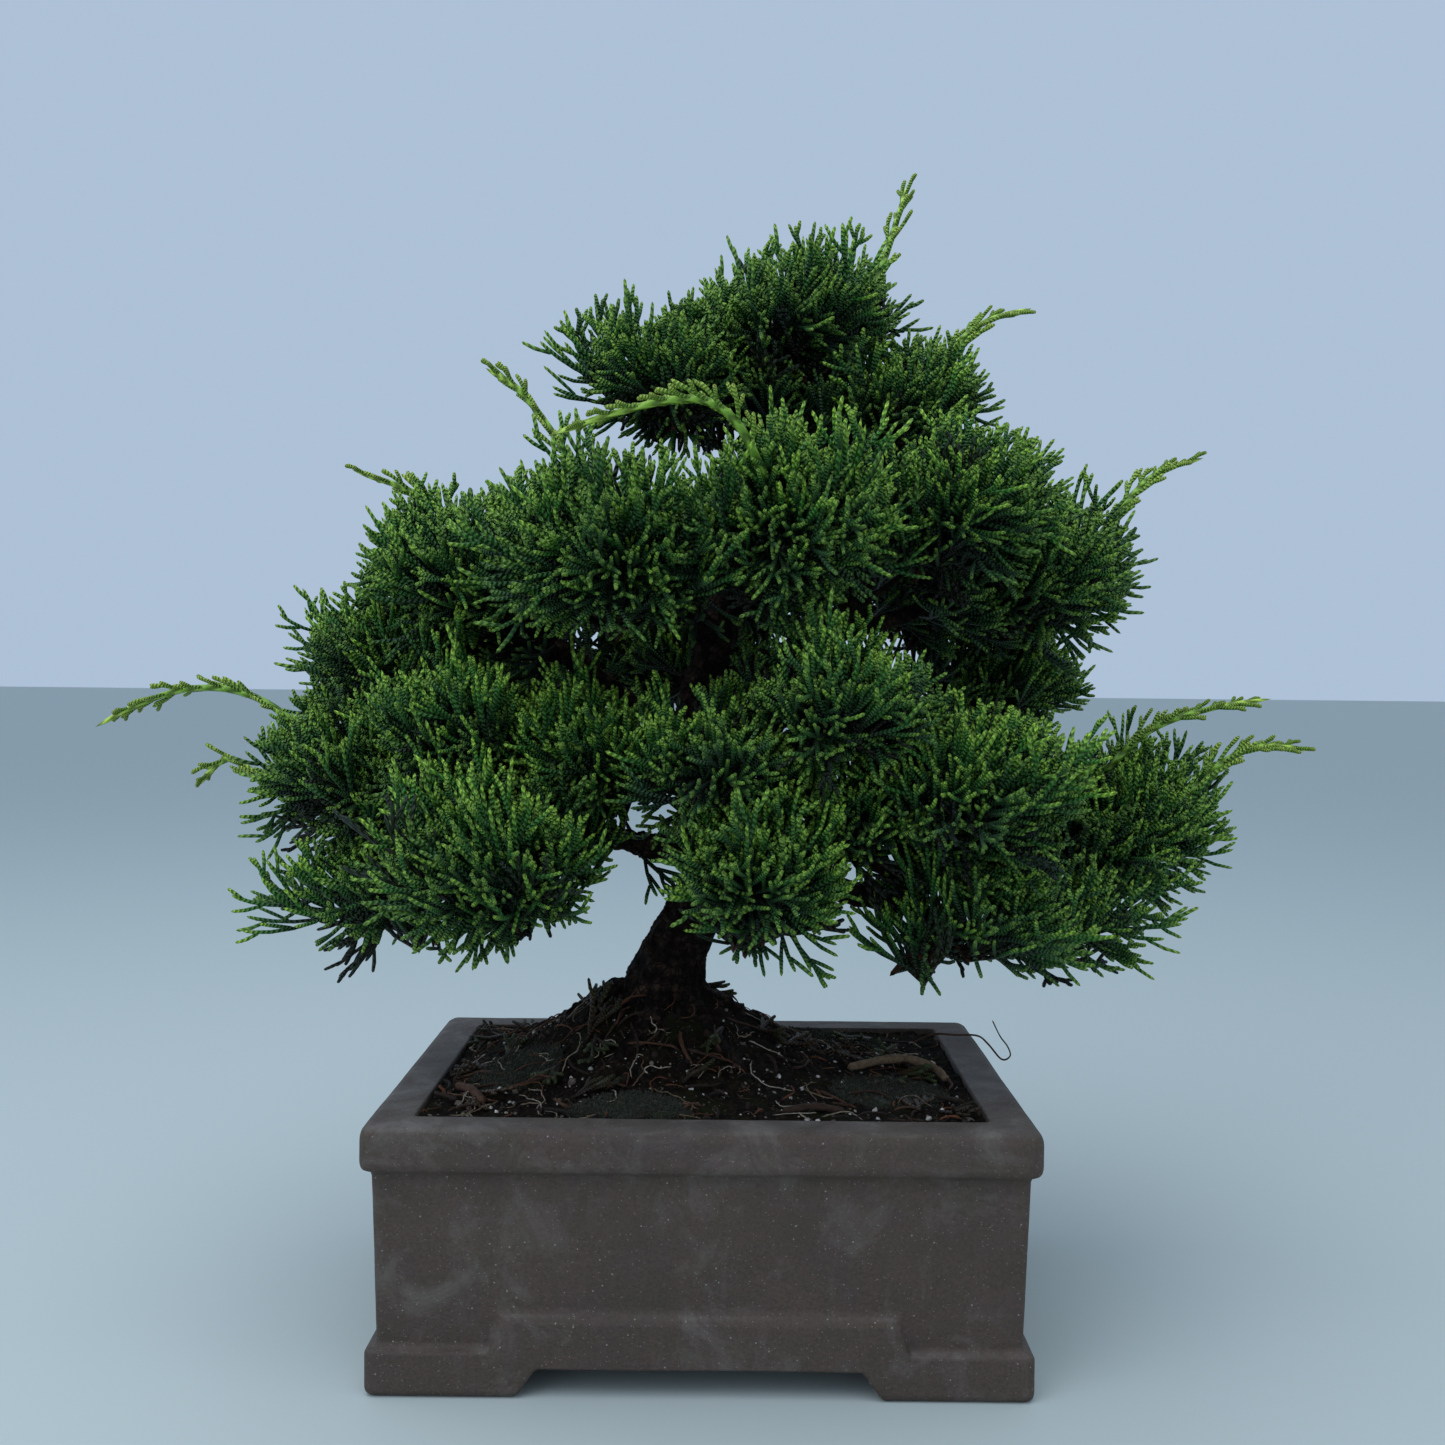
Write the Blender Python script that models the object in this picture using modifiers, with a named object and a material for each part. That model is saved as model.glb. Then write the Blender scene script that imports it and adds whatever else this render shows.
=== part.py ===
"""A juniper bonsai in its footed rectangular pot.

Metres, +Z up.  The origin is under the middle of the pot, on the surface that the feet stand on.
+X runs along the pot's long side and +Y from its front to its back.

The pot stands on four corner feet.  Two mesh screens cover its drain holes, soil fills it and rises
to a mound round the trunk, and moss and fallen twigs lie on the soil.  The tree's wood is one piece,
from its surface roots to its twigs.  Its scale leaves grow in pads, and a few long shoots leave them.
"""

import math

import bmesh
import bpy
from mathutils import Vector, noise

MM = 0.001

# Pot, outside
POT_LENGTH = 0.2015
POT_WIDTH = 0.150
POT_HEIGHT = 0.079
PLAN_RADIUS = 0.0045
RIM_BAND = 0.013
RIM_WIDTH = 0.014
RIM_OVERHANG = 0.0035
RIM_ROUND = 0.0025
WALL_DRAFT = 0.002
CORNER_STEPS = 3

# Pot, feet and the apron between them
FOOT_HEIGHT = 0.0136
FOOT_LENGTH = 0.0465
FOOT_DEPTH = 0.034
FOOT_WALL = 0.012
ARCH_HEIGHT = 0.009
ARCH_SLOPE = 0.0067
APRON_HEIGHT = 0.024
APRON_INSET = 0.0020
APRON_ROUND = 0.0015
APRON_SLOPE = 0.0063
APRON_SETBACK = 0.0072

# Pot, inside
FLOOR_THICKNESS = 0.008
INNER_DRAFT = 0.002
DRAIN_DIAMETER = 0.014
DRAIN_SPACING = 0.090

# Screens over the drain holes
SCREEN_SIDE = 0.024
SCREEN_THICKNESS = 0.001
SCREEN_PITCH = 0.0054
SCREEN_BAR = 0.0016
SCREEN_HOLES = 4

# Soil
SOIL_BELOW_RIM = 0.003
MOUND_RISE = 0.030
MOUND_CENTRE = (-0.016, 0.012)
MOUND_REACH = (0.043, 0.037)
SOIL_EDGE = 0.014
SOIL_ROUGHNESS = 0.0007
SOIL_CELLS = (16, 12)

# Tree.  Limbs, pads and shoots are laid out in millimetres from the trunk's foot, at these drawn sizes.
DRAWN_HEIGHT = 278.0
DRAWN_SPREAD = 426.0
TREE_HEIGHT = 0.278
TREE_SPREAD = 0.426
TRUNK_SIDES = 10
LIMB_SIDES = 6
TWIG_SIDES = 6

# Leaf pads
PAD_SEGMENTS = 12
PAD_RINGS = 8
PAD_LUMPINESS = 0.16
PAD_LUMP_PITCH = 1.6

# Gap between pieces that touch
GAP = 0.0003

TRUNK = [
    (-15, 12, -12, 16.0),
    (-14, 12, 1, 13.6),
    (-10, 10, 15, 10.5),
    (-3, 6, 30, 9.0),
    (3, 2, 46, 8.4),
    (-1, 0, 66, 7.6),
    (-5, 2, 87, 7.2),
    (-2, 6, 107, 6.6),
    (5, 10, 129, 5.9),
    (14, 10, 150, 5.2),
    (20, 6, 173, 4.5),
    (23, 4, 197, 3.4),
    (27, 2, 221, 2.4),
]

# Each limb runs from the trunk, or from a lower limb, into the leaf pad that it carries.
LIMBS = [
    [(4, 2, 46, 5.0), (28, -8, 43, 4.4), (51, -20, 36, 4.2), (72, -32, 46, 3.4), (84, -46, 62, 2.6)],
    [(50, -19, 36, 3.4), (68, -32, 33, 2.4), (80, -40, 31, 1.8)],
    [(49, -18, 37, 3.6), (88, 8, 39, 3.0), (127, 27, 48, 2.6), (150, 34, 60, 2.0)],
    [(0, 2, 49, 5.0), (-18, -8, 50, 4.4), (-38, -20, 56, 3.8), (-56, -36, 58, 3.0), (-66, -52, 56, 2.4)],
    [(-36, -19, 56, 3.4), (-69, -15, 67, 2.8), (-104, -8, 73, 2.2), (-122, -8, 76, 1.8)],
    [(-62, -16, 65, 2.4), (-76, -26, 80, 1.8)],
    [(-3, 2, 84, 3.4), (-20, -12, 86, 2.6), (-38, -28, 84, 1.9)],
    [(-4, 2, 86, 4.6), (-30, -2, 101, 3.8), (-63, -12, 127, 3.0), (-82, -18, 142, 2.2)],
    [(-46, -7, 114, 3.0), (-83, 8, 117, 2.4), (-118, 18, 119, 1.8)],
    [(-28, -2, 100, 3.0), (-50, 26, 100, 2.4), (-78, 52, 101, 1.8)],
    [(-3, 5, 101, 4.8), (28, 0, 118, 4.0), (60, -15, 141, 3.0), (80, -30, 158, 2.2)],
    [(28, 0, 118, 3.6), (66, 5, 129, 2.8), (104, 6, 140, 2.4), (120, 6, 145, 1.8)],
    [(40, 2, 122, 2.8), (64, 32, 134, 2.2), (84, 54, 142, 1.8)],
    [(-2, 6, 104, 3.4), (40, 35, 104, 2.8), (80, 52, 105, 2.2), (108, 60, 106, 1.8)],
    [(-4, 4, 96, 3.4), (-8, 36, 108, 2.4), (-11, 60, 113, 1.8)],
    [(4, 10, 127, 3.2), (12, 40, 138, 2.4), (18, 64, 146, 1.8)],
    [(6, 10, 132, 3.0), (-20, 32, 147, 2.4), (-44, 46, 156, 1.8)],
    [(2, 0, 54, 3.2), (9, -30, 53, 2.4), (15, -58, 49, 1.8)],
    [(-1, 0, 74, 3.0), (0, -30, 78, 2.2), (2, -58, 81, 1.6)],
    [(-3, 4, 92, 3.2), (20, -25, 96, 2.4), (40, -58, 100, 1.8)],
    [(1, 8, 120, 3.6), (-10, -15, 134, 3.0), (-26, -46, 145, 2.2)],
    [(6, 9, 133, 3.4), (15, -20, 145, 2.8), (24, -52, 154, 2.2)],
    [(20, 6, 176, 3.4), (48, 5, 191, 2.6), (72, 4, 201, 2.0)],
    [(18, 7, 166, 2.8), (40, 32, 178, 2.2), (56, 52, 184, 1.8)],
    [(22, 5, 190, 2.8), (-1, 0, 207, 2.2), (-20, -5, 216, 1.6)],
    [(24, 4, 203, 2.4), (16, 24, 213, 2.0), (10, 40, 220, 1.6)],
]

# Surface roots: points on the soil in plan, millimetres from the middle of the pot, and a radius.
ROOTS = [
    [(-14, 13, 7.5), (-30, 13, 5.5), (-44, 20, 3.8), (-56, 26, 2.0)],
    [(-8, 11, 7.0), (8, 11, 4.8), (24, 18, 3.0), (36, 24, 1.8)],
    [(-14, 8, 6.0), (-18, -8, 4.0), (-27, -20, 2.6), (-36, -29, 1.6)],
    [(-8, 6, 5.5), (2, -10, 3.4), (13, -23, 1.8)],
    [(-12, 16, 6.0), (-7, 32, 3.8), (1, 45, 2.2)],
]

# Leaf pads: centre and half-sizes.
PADS = {
    "crown_top": ((31, 2, 231), (30, 34, 26)),
    "crown_left": ((-20, -8, 209), (25, 30, 26)),
    "crown_back": ((8, 46, 222), (34, 26, 26)),
    "shoulder_right": ((71, 4, 200), (23, 32, 23)),
    "shoulder_back": ((60, 58, 186), (30, 26, 26)),
    "mid_left_front": ((-30, -55, 148), (34, 36, 31)),
    "mid_centre_front": ((26, -60, 156), (28, 34, 30)),
    "mid_right": ((84, -32, 163), (29, 36, 26)),
    "mid_right_far": ((119, 6, 146), (26, 36, 29)),
    "mid_right_back": ((88, 60, 144), (32, 32, 28)),
    "mid_back": ((20, 70, 148), (32, 26, 28)),
    "mid_left_back": ((-50, 50, 158), (34, 30, 30)),
    "mid_left": ((-84, -18, 143), (27, 36, 28)),
    "left_far": ((-118, 18, 116), (24, 32, 24)),
    "left_back": ((-84, 58, 101), (34, 34, 28)),
    "low_left_outer": ((-125, -8, 76), (30, 36, 30)),
    "low_left_mid": ((-81, -32, 89), (28, 32, 24)),
    "low_left_inner": ((-43, -32, 84), (22, 30, 28)),
    "low_left_front": ((-67, -58, 52), (32, 36, 29)),
    "front_low": ((17, -68, 48), (23, 28, 26)),
    "front_centre": ((2, -66, 82), (20, 26, 18)),
    "front_right": ((43, -66, 101), (22, 30, 22)),
    "back_centre": ((-12, 68, 114), (34, 28, 24)),
    "right_back": ((114, 60, 106), (26, 32, 24)),
    "low_right_front": ((85, -55, 75), (29, 36, 27)),
    "low_right_under": ((84, -42, 32), (32, 34, 22)),
    "low_right_far": ((154, 35, 58), (32, 36, 32)),
    "low_right_inner": ((53, -48, 66), (17, 24, 18)),
    "low_right_hanging": ((127, -2, 29), (29, 30, 20)),
    "low_left_hanging": ((-108, -20, 37), (31, 30, 20)),
}

# Long shoots that leave the pads, from inside a pad to their tips.
SHOOTS = {
    "leader_shoot": [(50, 2, 228), (59, 2, 252), (63, 2, 265), (67, 2, 278)],
    "left_long_shoot": [(-138, 10, 86), (-158, 9, 99), (-177, 8, 102), (-196, 8, 97), (-213, 8, 88)],
    "left_lower_shoot": [(-136, 0, 62), (-152, 0, 71), (-164, 0, 78), (-175, 0, 68)],
    "left_upper_shoot": [(-38, -45, 166), (-49, -41, 183), (-60, -40, 197), (-71, -40, 204)],
    "left_high_shoot": [(-84, -16, 158), (-99, -15, 168), (-119, -15, 175)],
    "right_high_shoot": [(72, 5, 202), (83, 5, 221), (94, 5, 231), (110, 5, 236)],
    "right_mid_shoot": [(130, 5, 152), (145, 5, 171), (155, 5, 180), (170, 5, 185)],
    "right_upper_shoot": [(142, 29, 74), (159, 28, 90), (180, 27, 98), (202, 26, 102)],
    "right_long_shoot": [(168, 24, 64), (183, 21, 79), (196, 18, 85), (213, 15, 84)],
    "front_bright_shoot": [(17, -78, 164), (7, -90, 180), (-5, -93, 185), (-25, -93, 181), (-45, -93, 174)],
}
SHOOT_BASE_RADIUS = 4.2
SHOOT_TIP_RADIUS = 1.6

# What lies on the soil is laid out in millimetres from the nearest inside corner of the pot, which
# is given by the sides it is on: -1 is left or front, 1 is right or back.

# Moss cushions: corner, how far the centre is from its two walls, and half-sizes in plan.
MOSS = {
    "moss_left": ((-1, -1), (24, 45), (17, 15)),
    "moss_front": ((-1, -1), (64, 13), (21, 9)),
    "moss_right": ((1, -1), (26, 39), (21, 17)),
    "moss_back": ((1, 1), (42, 19), (24, 13)),
}
MOSS_HEIGHT = 0.0028

# Fallen twigs: corner, points with their distances from its walls and heights above the soil, radius.
TWIGS = {
    "arched_twig": ((1, -1), [(38, 57, 0.5), (28, 59, 3.5), (17, 60, 5), (9, 57, 3), (5, 50, 0.5)], 1.4),
    "fallen_twig_left": ((-1, -1), [(6, 35, 0.5), (12, 27, 1.5), (18, 17, 0.5)], 1.4),
    "fallen_twig_front": ((1, -1), [(62, 11, 0.5), (52, 15, 1), (42, 14, 0.5)], 1.2),
}

# A loose root that hangs over the rim: distances from the pot's right side, its middle and its top.
CURLED_ROOT = [
    (-24, 47, -2.2),
    (-16, 46, 1.5),
    (-8, 45, 1.6),
    (0, 45, 1.4),
    (4, 45, -1.5),
    (9, 44, -7),
    (12, 43, -5.5),
    (11, 43, -2),
    (8, 42, 2),
    (5, 42, 8),
]
CURLED_ROOT_RADIUS = 0.5


def clear_scene():
    for obj in list(bpy.data.objects):
        bpy.data.objects.remove(obj, do_unlink=True)


def new_collection(name):
    collection = bpy.data.collections.new(name)
    bpy.context.scene.collection.children.link(collection)
    return collection


def make_material(name, color, roughness, metallic=0.0):
    material = bpy.data.materials.new(name)
    material.use_nodes = True
    shader = material.node_tree.nodes["Principled BSDF"]
    shader.inputs["Base Color"].default_value = (*color, 1.0)
    shader.inputs["Roughness"].default_value = roughness
    shader.inputs["Metallic"].default_value = metallic
    return material


def add_object(name, bm, collection):
    """An object from a bmesh, with its faces turned outwards."""
    bmesh.ops.recalc_face_normals(bm, faces=bm.faces)
    mesh = bpy.data.meshes.new(name)
    bm.to_mesh(mesh)
    bm.free()
    obj = bpy.data.objects.new(name, mesh)
    collection.objects.link(obj)
    return obj


def as_part(obj, material):
    obj.data.materials.append(material)
    obj.data.shade_smooth()
    obj.data.set_sharp_from_angle(angle=math.radians(40))
    return obj


def as_cutter(obj):
    obj.hide_render = True
    obj.display_type = "WIRE"
    return obj


def boolean(obj, operation, other):
    modifier = obj.modifiers.new(f"{operation.lower()} {other.name}", "BOOLEAN")
    modifier.operation = operation
    modifier.object = other


def box(name, low, high, collection):
    bm = bmesh.new()
    bmesh.ops.create_cube(bm, size=1.0)
    for vert in bm.verts:
        for axis in range(3):
            vert.co[axis] = high[axis] if vert.co[axis] > 0 else low[axis]
    return add_object(name, bm, collection)


def wedge(name, bottom, top, low, high, collection):
    """A block whose plan goes from the bottom rectangle to the top one, each (x0, x1, y0, y1)."""
    bm = bmesh.new()
    bmesh.ops.create_cube(bm, size=1.0)
    for vert in bm.verts:
        plan = top if vert.co.z > 0 else bottom
        vert.co.z = high if vert.co.z > 0 else low
        vert.co.x = plan[1] if vert.co.x > 0 else plan[0]
        vert.co.y = plan[3] if vert.co.y > 0 else plan[2]
    return add_object(name, bm, collection)


def rounded_ring(bm, length, width, radius, z):
    """The vertices of a rectangle with round corners."""
    verts = []
    for corner, (side_x, side_y) in enumerate([(1, 1), (-1, 1), (-1, -1), (1, -1)]):
        centre = Vector((side_x * (length / 2 - radius), side_y * (width / 2 - radius), z))
        for step in range(CORNER_STEPS + 1):
            angle = math.radians(90 * (corner + step / CORNER_STEPS))
            offset = Vector((math.cos(angle), math.sin(angle), 0)) * radius
            verts.append(bm.verts.new(centre + offset))
    return verts


def ring_stack(name, sections, collection):
    """A closed loft through rounded rectangles, each (length, width, corner radius, height)."""
    bm = bmesh.new()
    rings = [rounded_ring(bm, *section) for section in sections]
    count = len(rings[0])
    for lower, upper in zip(rings, rings[1:]):
        for i in range(count):
            j = (i + 1) % count
            bm.faces.new((lower[i], lower[j], upper[j], upper[i]))
    bm.faces.new(rings[0])
    bm.faces.new(rings[-1])
    return add_object(name, bm, collection)


def inset(amount, z):
    """A section of the pot's outline, drawn in by this much."""
    radius = max(PLAN_RADIUS - amount, 0.002)
    return (POT_LENGTH - 2 * amount, POT_WIDTH - 2 * amount, radius, z)


def cavity_sections(clearance, top):
    """The pot's hollow, drawn in by a clearance, from its floor to this height."""
    wall = RIM_WIDTH + clearance
    return [
        inset(wall + INNER_DRAFT, ARCH_HEIGHT + FLOOR_THICKNESS + clearance),
        inset(wall, POT_HEIGHT - RIM_BAND),
        inset(wall, top),
    ]


# ---- pot ----


def make_apron(cutters):
    """The raised band round the foot of the pot, cut down to the feet's height at each corner."""
    apron = ring_stack(
        "apron",
        [
            inset(APRON_INSET + APRON_ROUND, 0),
            inset(APRON_INSET, APRON_ROUND),
            inset(APRON_INSET, APRON_HEIGHT - APRON_ROUND),
            inset(APRON_INSET + APRON_ROUND, APRON_HEIGHT),
        ],
        cutters,
    )
    inner_x = POT_LENGTH / 2 - FOOT_LENGTH + APRON_SETBACK
    inner_y = POT_WIDTH / 2 - FOOT_DEPTH + APRON_SETBACK
    for side_x in (-1, 1):
        for side_y in (-1, 1):
            plans = []
            for slope in (0, APRON_SLOPE):
                xs = sorted((side_x * (inner_x - slope), side_x * POT_LENGTH))
                ys = sorted((side_y * (inner_y - slope), side_y * POT_WIDTH))
                plans.append((*xs, *ys))
            high = 2 * APRON_HEIGHT - FOOT_HEIGHT
            step = wedge(f"apron_step_{side_x}_{side_y}", *plans, FOOT_HEIGHT, high, cutters)
            boolean(apron, "DIFFERENCE", as_cutter(step))
    return as_cutter(apron)


def make_pot(parts, cutters, material):
    rim_bottom = POT_HEIGHT - RIM_BAND
    wall_foot = RIM_OVERHANG + WALL_DRAFT
    pot = ring_stack(
        "pot",
        [
            inset(wall_foot, 0),
            inset(RIM_OVERHANG, rim_bottom),
            inset(0.25 * RIM_ROUND, rim_bottom + 0.25 * RIM_ROUND),
            inset(0, rim_bottom + RIM_ROUND),
            inset(0, POT_HEIGHT - RIM_ROUND),
            inset(0.3 * RIM_ROUND, POT_HEIGHT - 0.3 * RIM_ROUND),
            inset(RIM_ROUND, POT_HEIGHT),
        ],
        parts,
    )
    boolean(pot, "UNION", make_apron(cutters))

    cavity = ring_stack("cavity", cavity_sections(0, POT_HEIGHT + SOIL_EDGE), cutters)
    recess = ring_stack(
        "underside_recess",
        [inset(FOOT_WALL, -RIM_BAND), inset(FOOT_WALL, ARCH_HEIGHT)],
        cutters,
    )
    half_x = POT_LENGTH / 2 - FOOT_LENGTH
    half_y = POT_WIDTH / 2 - FOOT_DEPTH
    far_x = POT_LENGTH
    far_y = POT_WIDTH
    flare = ARCH_SLOPE * (1 + RIM_BAND / ARCH_HEIGHT)
    narrow_x = half_x - ARCH_SLOPE
    narrow_y = half_y - ARCH_SLOPE
    through_long_sides = wedge(
        "arch_through_long_sides",
        (-narrow_x - flare, narrow_x + flare, -far_y, far_y),
        (-narrow_x, narrow_x, -far_y, far_y),
        -RIM_BAND,
        ARCH_HEIGHT,
        cutters,
    )
    through_short_sides = wedge(
        "arch_through_short_sides",
        (-far_x, far_x, -narrow_y - flare, narrow_y + flare),
        (-far_x, far_x, -narrow_y, narrow_y),
        -RIM_BAND,
        ARCH_HEIGHT,
        cutters,
    )
    for cutter in (cavity, recess, through_long_sides, through_short_sides):
        boolean(pot, "DIFFERENCE", as_cutter(cutter))
    for side in (-1, 1):
        bm = bmesh.new()
        bmesh.ops.create_cone(
            bm,
            cap_ends=True,
            segments=16,
            radius1=DRAIN_DIAMETER / 2,
            radius2=DRAIN_DIAMETER / 2,
            depth=4 * FLOOR_THICKNESS,
        )
        drain = add_object(f"drain_hole_{side}", bm, cutters)
        drain.location = (side * DRAIN_SPACING / 2, 0, ARCH_HEIGHT + FLOOR_THICKNESS / 2)
        boolean(pot, "DIFFERENCE", as_cutter(drain))
    return as_part(pot, material)


# ---- drain screens ----


def make_screens(parts, cutters, material):
    """Square plastic mesh on the pot's floor over each drain hole.  Returns the room each one takes."""
    rooms = []
    bottom = ARCH_HEIGHT + FLOOR_THICKNESS + GAP
    half = SCREEN_SIDE / 2
    for side, name in ((-1, "drain_screen_left"), (1, "drain_screen_right")):
        x = side * DRAIN_SPACING / 2
        screen = box(name, (x - half, -half, bottom), (x + half, half, bottom + SCREEN_THICKNESS), parts)
        hole = box(
            f"{name}_holes",
            (0, 0, -SCREEN_THICKNESS),
            (SCREEN_PITCH - SCREEN_BAR, SCREEN_PITCH - SCREEN_BAR, 2 * SCREEN_THICKNESS),
            cutters,
        )
        for axis in range(2):
            row = hole.modifiers.new("row", "ARRAY")
            row.count = SCREEN_HOLES
            row.use_relative_offset = False
            row.use_constant_offset = True
            row.constant_offset_displace = [SCREEN_PITCH if i == axis else 0 for i in range(3)]
        span = SCREEN_HOLES * SCREEN_PITCH - SCREEN_BAR
        hole.location = (x - span / 2, -span / 2, bottom)
        boolean(screen, "DIFFERENCE", as_cutter(hole))
        as_part(screen, material)
        room_half = half + GAP
        low = (x - room_half, -room_half, bottom - FLOOR_THICKNESS)
        high = (x + room_half, room_half, bottom + SCREEN_THICKNESS + GAP)
        rooms.append(as_cutter(box(f"{name}_room", low, high, cutters)))
    return rooms


# ---- soil ----


def inside_corner(corner, from_walls):
    """A place in plan, this many millimetres from the two walls that meet at a corner."""
    x = corner[0] * (POT_LENGTH / 2 - RIM_WIDTH - from_walls[0] * MM)
    y = corner[1] * (POT_WIDTH / 2 - RIM_WIDTH - from_walls[1] * MM)
    return x, y


def soil_height(x, y):
    """The height of the soil: level by the walls, with a mound round the trunk."""
    inner_x = POT_LENGTH / 2 - RIM_WIDTH
    inner_y = POT_WIDTH / 2 - RIM_WIDTH
    to_wall = min(inner_x - abs(x), inner_y - abs(y))
    window = min(max(to_wall / SOIL_EDGE, 0), 1)
    window = window * window * (3 - 2 * window)
    across = (x - MOUND_CENTRE[0]) / MOUND_REACH[0]
    back = (y - MOUND_CENTRE[1]) / MOUND_REACH[1]
    rise = MOUND_RISE * math.exp(-across * across - back * back)
    rough = SOIL_ROUGHNESS * noise.noise(Vector((x, y, 0)) / SOIL_EDGE)
    return POT_HEIGHT - SOIL_BELOW_RIM + window * rise + rough


def soil_block(name, clearance, collection):
    """A block under the soil's surface, wider than the pot's hollow."""
    cells_x, cells_y = SOIL_CELLS
    bm = bmesh.new()
    bmesh.ops.create_grid(bm, x_segments=cells_x, y_segments=cells_y, size=0.5)
    for vert in bm.verts:
        vert.co.x *= POT_LENGTH - RIM_WIDTH
        vert.co.y *= POT_WIDTH - RIM_WIDTH
        vert.co.z = soil_height(vert.co.x, vert.co.y) + clearance
    bmesh.ops.triangulate(bm, faces=bm.faces[:], quad_method="FIXED")
    skirt = bmesh.ops.extrude_face_region(bm, geom=bm.faces[:])
    for element in skirt["geom"]:
        if isinstance(element, bmesh.types.BMVert):
            element.co.z = 0
    bmesh.ops.dissolve_faces(bm, faces=[f for f in bm.faces if all(v.co.z == 0 for v in f.verts)])
    return add_object(name, bm, collection)


def make_soil(parts, cutters, rooms, wood_room, material):
    soil = soil_block("soil", 0, parts)
    top = POT_HEIGHT + 2 * MOUND_RISE
    hollow = ring_stack("soil_outline", cavity_sections(GAP, top), cutters)
    boolean(soil, "INTERSECT", as_cutter(hollow))
    for room in rooms:
        boolean(soil, "DIFFERENCE", room)
    boolean(soil, "DIFFERENCE", wood_room)
    return as_part(soil, material)


def make_moss(parts, cutters, ground, wood_room, material):
    """Low cushions that follow the soil."""
    for name, (corner, from_walls, half_sizes) in MOSS.items():
        centre = inside_corner(corner, from_walls)
        bm = bmesh.new()
        bmesh.ops.create_uvsphere(bm, u_segments=PAD_SEGMENTS, v_segments=PAD_RINGS, radius=1)
        for vert in bm.verts:
            vert.co.x = centre[0] + half_sizes[0] * MM * vert.co.x
            vert.co.y = centre[1] + half_sizes[1] * MM * vert.co.y
            vert.co.z = MOSS_HEIGHT * vert.co.z + soil_height(vert.co.x, vert.co.y)
        moss = add_object(name, bm, parts)
        boolean(moss, "DIFFERENCE", ground)
        boolean(moss, "DIFFERENCE", wood_room)
        as_part(moss, material)


# ---- tubes ----


def smooth_route(points, per_span):
    """Points along a Catmull-Rom curve through these ones, whose last value is a radius."""
    route = [Vector(p) for p in points]
    ends = [2 * route[0] - route[1], *route, 2 * route[-1] - route[-2]]
    smooth = []
    for p0, p1, p2, p3 in zip(ends, ends[1:], ends[2:], ends[3:]):
        for step in range(per_span):
            t = step / per_span
            bend = 2 * p0 - 5 * p1 + 4 * p2 - p3
            twist = 3 * p1 - p0 - 3 * p2 + p3
            smooth.append(0.5 * (2 * p1 + (p2 - p0) * t + bend * t * t + twist * t * t * t))
    smooth.append(route[-1])
    return smooth


def tube(name, points, sides, grow, collection):
    """A tapering tube with capped ends, through (x, y, z, radius) points in metres."""
    curve = bpy.data.curves.new(name, "CURVE")
    curve.dimensions = "3D"
    curve.bevel_depth = 1.0
    curve.bevel_resolution = sides // 2 - 2
    curve.use_fill_caps = True
    spline = curve.splines.new("POLY")
    spline.points.add(len(points) - 1)
    for spline_point, (x, y, z, radius) in zip(spline.points, points):
        spline_point.co = (x, y, z, 1)
        spline_point.radius = radius + grow
    along = (Vector(points[-1][:3]) - Vector(points[-2][:3])).normalized()
    tip = Vector(points[-1][:3]) + along * grow
    spline.points[-1].co = (*tip, 1)

    holder = bpy.data.objects.new(name, curve)
    collection.objects.link(holder)
    bpy.context.view_layer.update()
    evaluated = holder.evaluated_get(bpy.context.evaluated_depsgraph_get())
    mesh = bpy.data.meshes.new_from_object(evaluated)
    matrix = holder.matrix_world.copy()
    bpy.data.objects.remove(holder)
    bpy.data.curves.remove(curve)
    bm = bmesh.new()
    bm.from_mesh(mesh)
    bpy.data.meshes.remove(mesh)
    bmesh.ops.remove_doubles(bm, verts=bm.verts, dist=0.00001)
    piece = add_object(name, bm, collection)
    piece.matrix_world = matrix
    return piece


# ---- tree ----


def tree_point(x, y, z):
    """A drawn point of the tree, in millimetres from its foot, in its place and size in metres."""
    ground = POT_HEIGHT - SOIL_BELOW_RIM + MOUND_RISE - MM
    wide = TREE_SPREAD / DRAWN_SPREAD
    return Vector((x * wide, y * wide, ground + z * TREE_HEIGHT / DRAWN_HEIGHT))


def tree_route(points, per_span):
    thick = TREE_SPREAD / DRAWN_SPREAD
    placed = [(*tree_point(x, y, z), radius * thick) for x, y, z, radius in points]
    return smooth_route(placed, per_span)


def root_route(points):
    """A surface root, half sunk in the soil."""
    placed = []
    for x, y, radius in points:
        height = soil_height(x * MM, y * MM) - 0.4 * radius * MM
        placed.append((x * MM, y * MM, height, radius * MM))
    return smooth_route(placed, 2)


def tree_wood(name, grow, parts, cutters):
    """Trunk, limbs and surface roots in one piece."""
    wood = tube(name, tree_route(TRUNK, 1), TRUNK_SIDES, grow, parts)
    limbs = bpy.data.collections.new(f"{name}_limbs")
    cutters.children.link(limbs)
    for number, points in enumerate(LIMBS):
        as_cutter(tube(f"{name}_limb_{number}", tree_route(points, 2), LIMB_SIDES, grow, limbs))
    for number, points in enumerate(ROOTS):
        as_cutter(tube(f"{name}_root_{number}", root_route(points), LIMB_SIDES, grow, limbs))
    union = wood.modifiers.new("join limbs and roots", "BOOLEAN")
    union.operation = "UNION"
    union.operand_type = "COLLECTION"
    union.collection = limbs
    return wood


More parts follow.
